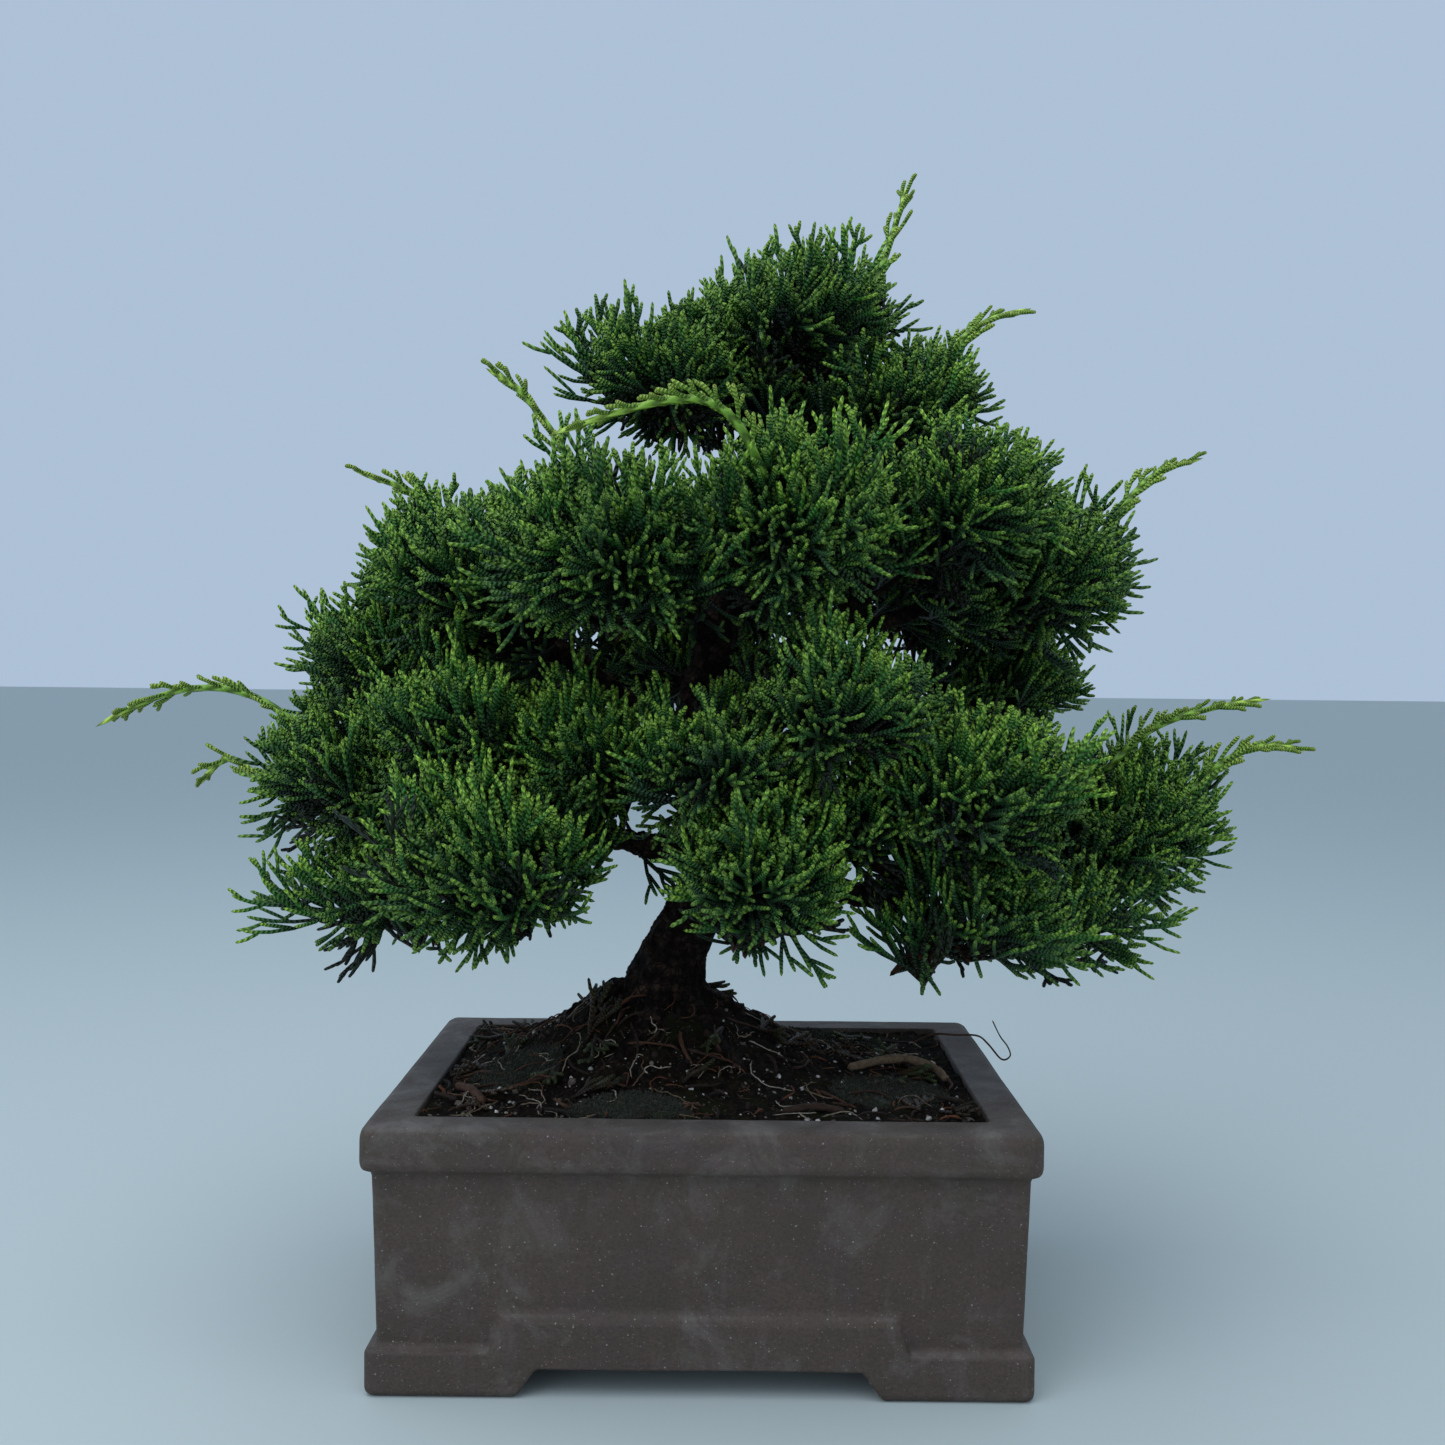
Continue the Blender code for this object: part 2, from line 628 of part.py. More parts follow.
def leaf_pad(name, centre, half_sizes, grow, collection):
    """A lumpy cushion of foliage."""
    wide = TREE_SPREAD / DRAWN_SPREAD
    tall = TREE_HEIGHT / DRAWN_HEIGHT
    middle = tree_point(*centre)
    bm = bmesh.new()
    bmesh.ops.create_uvsphere(bm, u_segments=PAD_SEGMENTS, v_segments=PAD_RINGS, radius=1)
    for vert in bm.verts:
        way = vert.co.normalized()
        lump = 1 + PAD_LUMPINESS * noise.noise(PAD_LUMP_PITCH * way + Vector(centre))
        skin = [along * half * lump for along, half in zip(way, half_sizes)]
        vert.co = middle + Vector((skin[0] * wide, skin[1] * wide, skin[2] * tall)) + way * grow
    bmesh.ops.triangulate(bm, faces=bm.faces[:], quad_method="FIXED")
    return add_object(name, bm, collection)


def reaches(first, second):
    """Whether two pads, each a centre and half-sizes, could meet."""
    room = 1 + PAD_LUMPINESS
    pairs = zip(first[0], second[0], first[1], second[1])
    return all(abs(a - b) < room * (half_a + half_b) for a, b, half_a, half_b in pairs)


def make_pads(parts, cutters, wood_room, material):
    """Leaf pads, each fitted against the wood and the pads before it.  Returns the room of each."""
    rooms = {}
    for name, (centre, half_sizes) in PADS.items():
        pad = leaf_pad(f"leaves_{name}", centre, half_sizes, 0, parts)
        boolean(pad, "DIFFERENCE", wood_room)
        for other, room in rooms.items():
            if reaches(PADS[name], PADS[other]):
                boolean(pad, "DIFFERENCE", room)
        as_part(pad, material)
        room = leaf_pad(f"room_{name}", centre, half_sizes, 1.3 * GAP, cutters)
        rooms[name] = as_cutter(room)
    return rooms


def make_shoots(parts, pad_rooms, material):
    """Long shoots, each starting at the skin of its pad."""
    for name, points in SHOOTS.items():
        last = len(points) - 1
        widths = [SHOOT_BASE_RADIUS + (SHOOT_TIP_RADIUS - SHOOT_BASE_RADIUS) * i / last for i in range(last + 1)]
        route = tree_route([(*p, width) for p, width in zip(points, widths)], 2)
        shoot = tube(name, route, TWIG_SIDES, 0, parts)
        middle = [sum(p[axis] for p in points) / len(points) for axis in range(3)]
        half = [max(abs(p[axis] - middle[axis]) for p in points) + SHOOT_BASE_RADIUS for axis in range(3)]
        for pad, room in pad_rooms.items():
            if reaches((middle, half), PADS[pad]):
                boolean(shoot, "DIFFERENCE", room)
        as_part(shoot, material)


def make_twigs(parts, material):
    """Twigs that lie on the soil, and a loose root that hangs over the rim."""
    for name, (corner, points, radius) in TWIGS.items():
        placed = []
        for from_side, from_front, height in points:
            x, y = inside_corner(corner, (from_side, from_front))
            z = soil_height(x, y) + (radius + height) * MM + GAP
            placed.append((x, y, z, radius * MM))
        as_part(tube(name, smooth_route(placed, 3), TWIG_SIDES, 0, parts), material)

    placed = []
    for x, y, z in CURLED_ROOT:
        placed.append((POT_LENGTH / 2 + x * MM, y * MM, POT_HEIGHT + z * MM, CURLED_ROOT_RADIUS * MM))
    as_part(tube("curled_root", smooth_route(placed, 3), TWIG_SIDES, 0, parts), material)


def main():
    clear_scene()
    parts = new_collection("juniper_bonsai")
    cutters = new_collection("cutters")

    stoneware = make_material("unglazed_stoneware", (0.075, 0.055, 0.045), 0.72)
    plastic = make_material("screen_plastic", (0.02, 0.02, 0.02), 0.5)
    earth = make_material("dark_soil", (0.018, 0.013, 0.010), 0.95)
    moss_green = make_material("moss", (0.025, 0.045, 0.012), 0.95)
    bark = make_material("juniper_bark", (0.045, 0.032, 0.024), 0.9)
    leaf = make_material("juniper_scale_leaves", (0.035, 0.11, 0.035), 0.6)
    young_leaf = make_material("young_juniper_shoots", (0.16, 0.30, 0.07), 0.6)
    dead_wood = make_material("fallen_twigs", (0.12, 0.07, 0.045), 0.9)

    wood = tree_wood("tree_wood", 0, parts, cutters)
    as_part(wood, bark)
    wood_room = as_cutter(tree_wood("wood_room", GAP, cutters, cutters))

    make_pot(parts, cutters, stoneware)
    rooms = make_screens(parts, cutters, plastic)
    make_soil(parts, cutters, rooms, wood_room, earth)
    ground = as_cutter(soil_block("ground", GAP, cutters))
    make_moss(parts, cutters, ground, wood_room, moss_green)
    pad_rooms = make_pads(parts, cutters, wood_room, leaf)
    make_shoots(parts, pad_rooms, young_leaf)
    make_twigs(parts, dead_wood)


main()
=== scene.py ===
"""Looks of a juniper bonsai in its footed pot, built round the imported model.

Metres, +Z up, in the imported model's own frame.  Every piece here is mesh work in code: the foliage is
grown cord by cord in the room of each leaf pad, the wood and the pot are finer versions of their
solids, and the soil carries the moss, roots and litter that lie on it.
"""

import math

import bpy
import numpy as np
from mathutils import Euler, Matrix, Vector, noise


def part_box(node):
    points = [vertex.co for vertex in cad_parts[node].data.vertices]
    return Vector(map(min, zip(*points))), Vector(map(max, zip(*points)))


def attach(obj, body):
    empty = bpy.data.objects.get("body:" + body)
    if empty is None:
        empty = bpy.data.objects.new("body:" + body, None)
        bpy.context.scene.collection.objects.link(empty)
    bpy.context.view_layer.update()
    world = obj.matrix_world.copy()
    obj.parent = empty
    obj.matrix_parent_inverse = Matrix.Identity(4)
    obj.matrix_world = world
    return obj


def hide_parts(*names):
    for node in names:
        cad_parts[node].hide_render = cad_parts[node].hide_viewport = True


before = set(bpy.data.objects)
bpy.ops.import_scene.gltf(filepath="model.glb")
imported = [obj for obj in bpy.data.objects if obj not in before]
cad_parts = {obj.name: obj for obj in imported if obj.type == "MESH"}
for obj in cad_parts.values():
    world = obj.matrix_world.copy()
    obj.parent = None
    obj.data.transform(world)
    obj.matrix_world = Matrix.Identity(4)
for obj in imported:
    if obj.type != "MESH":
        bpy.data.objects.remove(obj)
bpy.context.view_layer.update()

MM = 0.001
UP = np.array([0.0, 0.0, 1.0])

POT_HIGH = np.array(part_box("pot")[1])
SOIL_LOW, SOIL_HIGH = (np.array(corner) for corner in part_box("soil"))
SOIL_BELOW_RIM = 3 * MM
SOIL_LEVEL = POT_HIGH[2] - SOIL_BELOW_RIM

# The mound round the trunk, the level strip along the walls, and the bank against them
MOUND_RISE = 30 * MM
MOUND_CENTRE = (-16 * MM, 12 * MM)
MOUND_REACH = (43 * MM, 37 * MM)
SOIL_EDGE = 14 * MM
SOIL_BANK = 1.4 * MM
TREE_FOOT = SOIL_LEVEL + MOUND_RISE - MM

# Scale-leaf cords.  A station is a share of the cord's length, and a swell a share of its radius.
CORD_STATIONS = np.array([0, 0.05, 0.33, 0.62, 0.84, 0.955, 1.0])
CORD_SWELL = np.array([0.85, 0.95, 1.0, 0.95, 0.7])
TIP_STATIONS = np.array([0, 0.1, 0.55, 0.92, 1.0])
TIP_SWELL = np.array([0.85, 1.0, 0.78])
CORD_RADIUS = 0.74 * MM
CORD_SIDES = 5
VIGOUR_STEPS = 32

# Leaf pads.  The root's shift and drop and the hubs' depth are shares of a pad's half size.
TREE_MIDDLE = np.array([0.003, 0.005, 0])
ROOT_SHIFT = 0.45
ROOT_DROP = 0.5
HUBS = 14
HUB_DEPTH = 0.42
PAD_SQUARENESS = 2.4
FAN_SPACING = 11.3 * MM
HANGING_PADS = ("leaves_low_left_hanging", "leaves_low_right_hanging", "leaves_low_right_under")
HANGING_SPACING = 18.0 * MM
LIMB_SPRAYS = 16
INNER_SPRAYS = 20
BRIDGE_REACH = 68 * MM
BRIDGE_SPRAYS = 4
AXIS_BRANCHES = 5
BRANCH_TIPS = 2

# What lies on the soil
CRUMBS = 3400
SPRIGS = 26
MOSS_TUFTS = 1500

# Studio and camera
FLOOR_REACH = 30.0
SKY_STRENGTH = 0.92
CAMERA_PLACE = (0.0047, -0.5097, 0.2103)
CAMERA_ROLL = math.radians(0.6)
LENS_LENGTH = 37.15
SENSOR_WIDTH = 36.0
FRAME_SHIFT = -0.0268


# ---- arrays to meshes ----


def unit(vectors):
    return vectors / np.maximum(np.linalg.norm(vectors, axis=-1, keepdims=True), 1e-9)


def grain(points, size, seed=0.0):
    """Smooth noise from -1 to 1 at each point, whose lumps are about this size."""
    return np.array([noise.noise(Vector(p)) for p in (points / size + seed).tolist()])


def cord_faces(rings, sides):
    """One cord's faces.

    Each corner has a vertex, a station and a place round the cord; each face has its number of corners.
    """
    corners = []
    sizes = []
    tip = 1 + rings * sides

    def vertex(ring, side):
        return 1 + ring * sides + side % sides

    for side in range(sides):
        corners += [(0, 0, side + 0.5), (vertex(0, side + 1), 1, side + 1), (vertex(0, side), 1, side)]
        sizes.append(3)
    for ring in range(rings - 1):
        for side in range(sides):
            corners.append((vertex(ring, side), ring + 1, side))
            corners.append((vertex(ring, side + 1), ring + 1, side + 1))
            corners.append((vertex(ring + 1, side + 1), ring + 2, side + 1))
            corners.append((vertex(ring + 1, side), ring + 2, side))
            sizes.append(4)
    top = rings - 1
    for side in range(sides):
        corners.append((vertex(top, side), rings, side))
        corners.append((vertex(top, side + 1), rings, side + 1))
        corners.append((tip, rings + 1, side + 0.5))
        sizes.append(3)
    return np.array(corners), np.array(sizes)


def cords(paths, radii, ages, vigour, sides=CORD_SIDES):
    """Closed round cords.  A path's first and last stations are its end points, the others are rings.

    Age runs along each cord and is 1 at a growing tip; vigour is one number for each cord, which on leaves
    also mixes their painted shade and painted sunlight.
    """
    count, stations, _ = paths.shape
    rings = stations - 2
    along = unit(np.gradient(paths, axis=1))[:, 1:-1]
    least = np.abs(along.mean(axis=1)).argmin(axis=1)
    first = unit(np.cross(along, np.eye(3)[least][:, None, :]))
    second = np.cross(along, first)
    angle = 2 * np.pi * np.arange(sides) / sides
    out = np.cos(angle)[:, None] * first[:, :, None, :] + np.sin(angle)[:, None] * second[:, :, None, :]
    skin = paths[:, 1:-1, None, :] + radii[:, :, None, None] * out
    points = np.concatenate([paths[:, :1], skin.reshape(count, rings * sides, 3), paths[:, -1:]], axis=1)

    corners, sizes = cord_faces(rings, sides)
    vertex = corners[:, 0].astype(int)
    station = corners[:, 1].astype(int)
    around = corners[:, 2] / sides
    row = np.minimum((np.clip(vigour, 0, 1) * VIGOUR_STEPS).astype(int), VIGOUR_STEPS - 1)
    age = ages[:, station]
    place = np.broadcast_to(around, age.shape)
    bake_row = (row[:, None] + 0.1 + 0.8 * place) / VIGOUR_STEPS
    return {
        "points": points.reshape(-1, 3),
        "corners": (vertex + (rings * sides + 2) * np.arange(count)[:, None]).ravel(),
        "sizes": np.tile(sizes, count),
        "scales": np.stack([age, place], axis=-1).reshape(-1, 2),
        "OFBake": np.stack([age, bake_row], axis=-1).reshape(-1, 2),
        "vigour": np.repeat((row + 0.5) / VIGOUR_STEPS, rings * sides + 2),
    }


def joined(bundle):
    """Several sets of arrays as one."""
    offset = 0
    shifted = []
    for arrays in bundle:
        shifted.append(arrays["corners"] + offset)
        offset += len(arrays["points"])
    whole = {key: np.concatenate([arrays[key] for arrays in bundle]) for key in bundle[0]}
    whole["corners"] = np.concatenate(shifted)
    return whole


def build_piece(name, arrays, material, slot, *nodes):
    """A mesh object that stands for these nodes."""
    mesh = bpy.data.meshes.new(name)
    sizes = arrays["sizes"]
    mesh.vertices.add(len(arrays["points"]))
    mesh.vertices.foreach_set("co", arrays["points"].astype(np.float32).ravel())
    mesh.loops.add(len(arrays["corners"]))
    mesh.loops.foreach_set("vertex_index", arrays["corners"].astype(np.int32))
    mesh.polygons.add(len(sizes))
    mesh.polygons.foreach_set("loop_start", (np.cumsum(sizes) - sizes).astype(np.int32))
    mesh.update(calc_edges=True)
    mesh.polygons.foreach_set("use_smooth", np.ones(len(sizes), bool))
    for key in ("scales", "OFBake"):
        if key in arrays:
            layer = mesh.uv_layers.new(name=key)
            layer.uv.foreach_set("vector", arrays[key].astype(np.float32).ravel())
    if "vigour" in arrays:
        values = mesh.attributes.new("vigour", "FLOAT", "POINT")
        values.data.foreach_set("value", arrays["vigour"].astype(np.float32))
    return place_piece(name, mesh, material, slot, *nodes)


def place_piece(name, mesh, material, slot, *nodes):
    """An object of this mesh that stands for these nodes."""
    piece = bpy.data.objects.new(name, mesh)
    bpy.context.scene.collection.objects.link(piece)
    mesh.materials.clear()
    mesh.materials.append(material)
    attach(piece, "root")
    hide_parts(*nodes)
    return piece


def remeshed(node, voxel, smoothing):
    """A finer copy of a solid's mesh: evenly divided, with its edges softened."""
    source = bpy.data.objects.new(f"{node}_fine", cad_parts[node].data.copy())
    bpy.context.scene.collection.objects.link(source)
    divide = source.modifiers.new("divide", "REMESH")
    divide.mode = "VOXEL"
    divide.voxel_size = voxel
    soften = source.modifiers.new("soften", "SMOOTH")
    soften.factor = 0.5
    soften.iterations = smoothing
    graph = bpy.context.evaluated_depsgraph_get()
    mesh = bpy.data.meshes.new_from_object(source.evaluated_get(graph))
    bpy.data.objects.remove(source)
    mesh.polygons.foreach_set("use_smooth", np.ones(len(mesh.polygons), bool))
    return mesh


def vectors_of(items, key):
    values = np.empty(len(items) * 3, np.float32)
    items.foreach_get(key, values)
    return values.reshape(-1, 3).astype(float)


def push(mesh, heights):
    """Moves each vertex out along its normal by its height."""
    points = vectors_of(mesh.vertices, "co")
    normals = vectors_of(mesh.vertices, "normal")
    points += normals * heights[:, None]
    mesh.vertices.foreach_set("co", points.astype(np.float32).ravel())
    mesh.update()


# ---- materials ----


def linear(colour):
    """An sRGB hex colour as linear RGBA."""
    channels = [int(colour[i : i + 2], 16) / 255 for i in (1, 3, 5)]
    return (*[c / 12.92 if c <= 0.04045 else ((c + 0.055) / 1.055) ** 2.4 for c in channels], 1.0)


def add_node(tree, kind, settings=None, values=None, links=None):
    """A shader node with its settings, its sockets' values and the outputs linked to its sockets."""
    made = tree.nodes.new(kind)
    for name, value in (settings or {}).items():
        if name == "stops":
            elements = made.color_ramp.elements
            while len(elements) < len(value):
                elements.new(0.5)
            for element, (position, colour) in zip(elements, value):
                element.position = position
                element.color = linear(colour)
        else:
            setattr(made, name, value)
    for socket, value in (values or {}).items():
        made.inputs[socket].default_value = value
    for socket, source in (links or {}).items():
        tree.links.new(source, made.inputs[socket])
    return made


def new_material(name, roughness, ior):
    """A material with its shader's own numbers set.  Returns it, its nodes and its shader."""
    material = bpy.data.materials.new(name)
    material.use_nodes = True
    tree = material.node_tree
    shader = tree.nodes["Principled BSDF"]
    shader.inputs["Roughness"].default_value = roughness
    shader.inputs["IOR"].default_value = ior
    return material, tree, shader


def scale_leaf_material(name, shaded, sunlit):
    """Juniper scale leaves, pressed to the stem in overlapping pairs.  Their waxy skin is satin and dark,
    each pair shows as a bead, and the soft new tips are yellow-green.  Each cord's vigour mixes the shaded
    ramp, the dull colour of old cords and painted shade, with the sunlit ramp, the bright colour of
    vigorous cords and painted sunlight.  The creases between the beads carry painted shade, and their tops
    a painted highlight."""
    material, tree, shader = new_material(name, 0.52, 1.42)
    place = add_node(tree, "ShaderNodeUVMap", {"uv_map": "scales"})
    split = add_node(tree, "ShaderNodeSeparateXYZ", links={0: place.outputs[0]})
    age = split.outputs[0]
    around = split.outputs[1]
    vigour = add_node(tree, "ShaderNodeAttribute", {"attribute_name": "vigour"}).outputs["Fac"]

    # Painted light: the first ramp is the shaded one, painted shade, and the second the sunlit one, painted
    # sunlight; vigour mixes the two.
    old_and_shaded = add_node(tree, "ShaderNodeValToRGB", {"stops": shaded}, links={0: age})
    new = add_node(tree, "ShaderNodeValToRGB", {"stops": sunlit}, links={0: age})
    tone = add_node(
        tree, "ShaderNodeMix", {"data_type": "RGBA"},
        links={0: vigour, 6: old_and_shaded.outputs[0], 7: new.outputs[0]},
    )

    # A pair of scales takes about 1 mm of stem and the next pair sits a quarter turn round from it.
    # They are drawn at 2 mm to show, which is 20 pairs from a spray's base to its tips.
    pairs = 20
    turn = add_node(tree, "ShaderNodeMath", {"operation": "MULTIPLY"}, {1: 4 * math.pi}, {0: around})
    swing = add_node(tree, "ShaderNodeMath", {"operation": "SINE"}, links={0: turn.outputs[0]})
    step = add_node(
        tree, "ShaderNodeMath", {"operation": "MULTIPLY"}, {1: 2 * math.pi * pairs}, {0: age},
    )
    phase = add_node(
        tree, "ShaderNodeMath", {"operation": "ADD"}, links={0: step.outputs[0], 1: swing.outputs[0]}
    )
    bead = add_node(tree, "ShaderNodeMath", {"operation": "SINE"}, links={0: phase.outputs[0]})
    # Painted shade in the creases between the beads, and a painted highlight on their tops.
    crease_shade_and_highlight = add_node(
        tree, "ShaderNodeMapRange", {"interpolation_type": "SMOOTHSTEP"},
        {1: -1.0, 2: 0.4, 3: 0.42, 4: 1.12}, {0: bead.outputs[0]},
    )
    shade = add_node(
        tree, "ShaderNodeVectorMath", {"operation": "SCALE"},
        links={0: tone.outputs[2], 3: crease_shade_and_highlight.outputs[0]},
    )
    bump = add_node(
        tree, "ShaderNodeBump", values={"Strength": 1.0, "Distance": 0.35 * MM},
        links={"Height": bead.outputs[0]},
    )
    tree.links.new(shade.outputs[0], shader.inputs["Base Color"])
    tree.links.new(bump.outputs[0], shader.inputs["Normal"])
    return material


def bark_material(name, crack, plate, ridge, fibre):
    """Juniper bark, dry and fibrous, which has grown and split.  It peels in long dark flakes, so it is
    matt, with pale worn ridges."""
    material, tree, shader = new_material(name, 0.9, 1.4)
    # The fibres' crevices swallow most of the light that would glance off.
    shader.inputs["Specular IOR Level"].default_value = 0.2
    place = add_node(tree, "ShaderNodeTexCoord").outputs["Object"]
    # Flakes are about 4 mm long.
    flakes = add_node(
        tree, "ShaderNodeTexNoise", values={"Scale": 1 / (4 * MM), "Detail": 8.0, "Roughness": 0.65},
        links={0: place},
    )
    cells = add_node(
        tree, "ShaderNodeTexVoronoi", {"feature": "DISTANCE_TO_EDGE"}, {"Scale": 1 / (3 * MM)},
        {0: place},
    )
    tone = add_node(
        tree, "ShaderNodeValToRGB",
        {"stops": [(0.3, crack), (0.5, plate), (0.68, ridge), (0.8, fibre)]},
        links={0: flakes.outputs[0]},
    )
    # The cracks between the plates are painted darker as well as sunk in the bump: painted shade.
    gap = add_node(
        tree, "ShaderNodeMapRange", values={1: 0.0, 2: 0.12, 3: 0.35, 4: 1.0},
        links={0: cells.outputs[0]},
    )
    shade = add_node(
        tree, "ShaderNodeVectorMath", {"operation": "SCALE"},
        links={0: tone.outputs[0], 3: gap.outputs[0]},
    )
    height = add_node(
        tree, "ShaderNodeMath", {"operation": "MULTIPLY"},
        links={0: flakes.outputs[0], 1: gap.outputs[0]},
    )
    bump = add_node(
        tree, "ShaderNodeBump", values={"Strength": 1.0, "Distance": 1.1 * MM},
        links={"Height": height.outputs[0]},
    )
    tree.links.new(shade.outputs[0], shader.inputs["Base Color"])
    tree.links.new(bump.outputs[0], shader.inputs["Normal"])
    return material


def stoneware_material():
    """Unglazed brown stoneware, pressed in a mould and fired.  It is matt and faintly gritty, with pale
    specks, drag marks from its finishing, and bluish lime left by watering in smudges.  Everything that
    faces up, the rim above all, is painted paler in the lime colour: painted sky light."""
    material, tree, shader = new_material("unglazed_stoneware", 0.62, 1.5)
    place = add_node(tree, "ShaderNodeTexCoord").outputs["Object"]
    geometry = add_node(tree, "ShaderNodeNewGeometry")
    blotch = add_node(
        tree, "ShaderNodeTexNoise", values={"Scale": 1 / (35 * MM), "Detail": 5.0, "Roughness": 0.6},
        links={0: place},
    )
    clay = add_node(
        tree, "ShaderNodeValToRGB", {"stops": [(0.32, "#3B312A"), (0.5, "#473A31"), (0.7, "#53473D")]},
        links={0: blotch.outputs[0]},
    )
    # The fire leaves the clay olive in some places and plum in others, some 12 mm across.
    flash = add_node(
        tree, "ShaderNodeTexNoise", values={"Scale": 1 / (12 * MM), "Detail": 6.0, "Roughness": 0.7},
        links={0: place},
    )
    flashed = add_node(
        tree, "ShaderNodeValToRGB", {"stops": [(0.36, "#403A2C"), (0.5, "#483B31"), (0.66, "#4C3C3B")]},
        links={0: flash.outputs[0]},
    )
    fired = add_node(
        tree, "ShaderNodeMix", {"data_type": "RGBA"}, {0: 0.5},
        {6: clay.outputs[0], 7: flashed.outputs[0]},
    )
    # Clay grit is 0.2 mm across, drawn at 0.5 mm to show.
    grit = add_node(
        tree, "ShaderNodeTexNoise", values={"Scale": 1 / (0.9 * MM), "Detail": 3.0, "Roughness": 0.7},
        links={0: place},
    )
    gritty = add_node(
        tree, "ShaderNodeMapRange", values={1: 0.3, 2: 0.7, 3: 0.74, 4: 1.24},
        links={0: grit.outputs[0]},
    )
    body = add_node(
        tree, "ShaderNodeVectorMath", {"operation": "SCALE"},
        links={0: fired.outputs[2], 3: gritty.outputs[0]},
    )
    # Pale specks of two sizes: 0.6 mm wide and 4 mm apart, and 0.35 mm wide and 1.6 mm apart.
    speckled = body.outputs[0]
    for pitch, edge, strength in ((4.0, 0.08, 0.6), (1.5, 0.14, 0.42)):
        specks = add_node(
            tree, "ShaderNodeTexVoronoi", values={"Scale": 1 / (pitch * MM)}, links={0: place},
        )
        speck = add_node(
            tree, "ShaderNodeMapRange", values={1: 0.5 * edge, 2: edge, 3: strength, 4: 0.0},
            links={0: specks.outputs[0]},
        )
        speckled = add_node(
            tree, "ShaderNodeMix", {"data_type": "RGBA"}, {7: linear("#ACA69F")},
            {0: speck.outputs[0], 6: speckled},
        ).outputs[2]
    # Drag marks run down the walls, so the pattern is drawn out along Z.
    drawn_out = add_node(
        tree, "ShaderNodeMapping", values={"Scale": (1.0, 1.0, 0.12)}, links={0: place}
    )
    drag = add_node(
        tree, "ShaderNodeTexNoise", values={"Scale": 1 / (7 * MM), "Detail": 4.0, "Roughness": 0.75},
        links={0: drawn_out.outputs[0]},
    )
    dragged = add_node(
        tree, "ShaderNodeMapRange", values={1: 0.58, 2: 0.82, 3: 0.0, 4: 0.16},
        links={0: drag.outputs[0]},
    )
    marked = add_node(
        tree, "ShaderNodeMix", {"data_type": "RGBA"}, {7: linear("#837A76")},
        {0: dragged.outputs[0], 6: speckled},
    )
    # Lime gathers in smudges some 25 mm apart; everything that faces up is painted paler: painted sky
    # light.
    smudge = add_node(
        tree, "ShaderNodeTexNoise",
        values={"Scale": 1 / (22 * MM), "Detail": 6.0, "Roughness": 0.72, "Distortion": 0.6},
        links={0: place},
    )
    smudged = add_node(
        tree, "ShaderNodeMapRange", values={1: 0.52, 2: 0.8, 3: 0.0, 4: 0.5},
        links={0: smudge.outputs[0]},
    )
    facing = add_node(tree, "ShaderNodeSeparateXYZ", links={0: geometry.outputs["Normal"]})
    upward = add_node(
        tree, "ShaderNodeMapRange", values={1: 0.6, 2: 0.95, 3: 0.0, 4: 1.0},
        links={0: facing.outputs[2]},
    )
    top_light_strength = add_node(
        tree, "ShaderNodeMapRange", values={1: 0.36, 2: 0.64, 3: 0.0, 4: 0.42},
        links={0: smudge.outputs[0]},
    )
    painted_top_light = add_node(
        tree, "ShaderNodeMath", {"operation": "MULTIPLY"},
        links={0: upward.outputs[0], 1: top_light_strength.outputs[0]},
    )
    # Real lime smudges, plus painted sky light on the faces that look up.
    lime = add_node(
        tree, "ShaderNodeMath", {"operation": "ADD", "use_clamp": True},
        links={0: smudged.outputs[0], 1: painted_top_light.outputs[0]},
    )
    limed_and_top_lit = add_node(
        tree, "ShaderNodeMix", {"data_type": "RGBA"}, {7: linear("#7A756E")},
        {0: lime.outputs[0], 6: marked.outputs[2]},
    )
    pits = add_node(
        tree, "ShaderNodeBump", values={"Strength": 1.0, "Distance": 0.4 * MM},
        links={"Height": grit.outputs[0]},
    )
    marks = add_node(
        tree, "ShaderNodeBump", values={"Strength": 0.3, "Distance": 0.4 * MM},
        links={"Height": drag.outputs[0], "Normal": pits.outputs[0]},
    )
    sheen = add_node(
        tree, "ShaderNodeMapRange", values={1: 0.3, 2: 0.7, 3: 0.66, 4: 0.84},
        links={0: blotch.outputs[0]},
    )
    tree.links.new(limed_and_top_lit.outputs[2], shader.inputs["Base Color"])
    tree.links.new(sheen.outputs[0], shader.inputs["Roughness"])
    tree.links.new(marks.outputs[0], shader.inputs["Normal"])
    return material


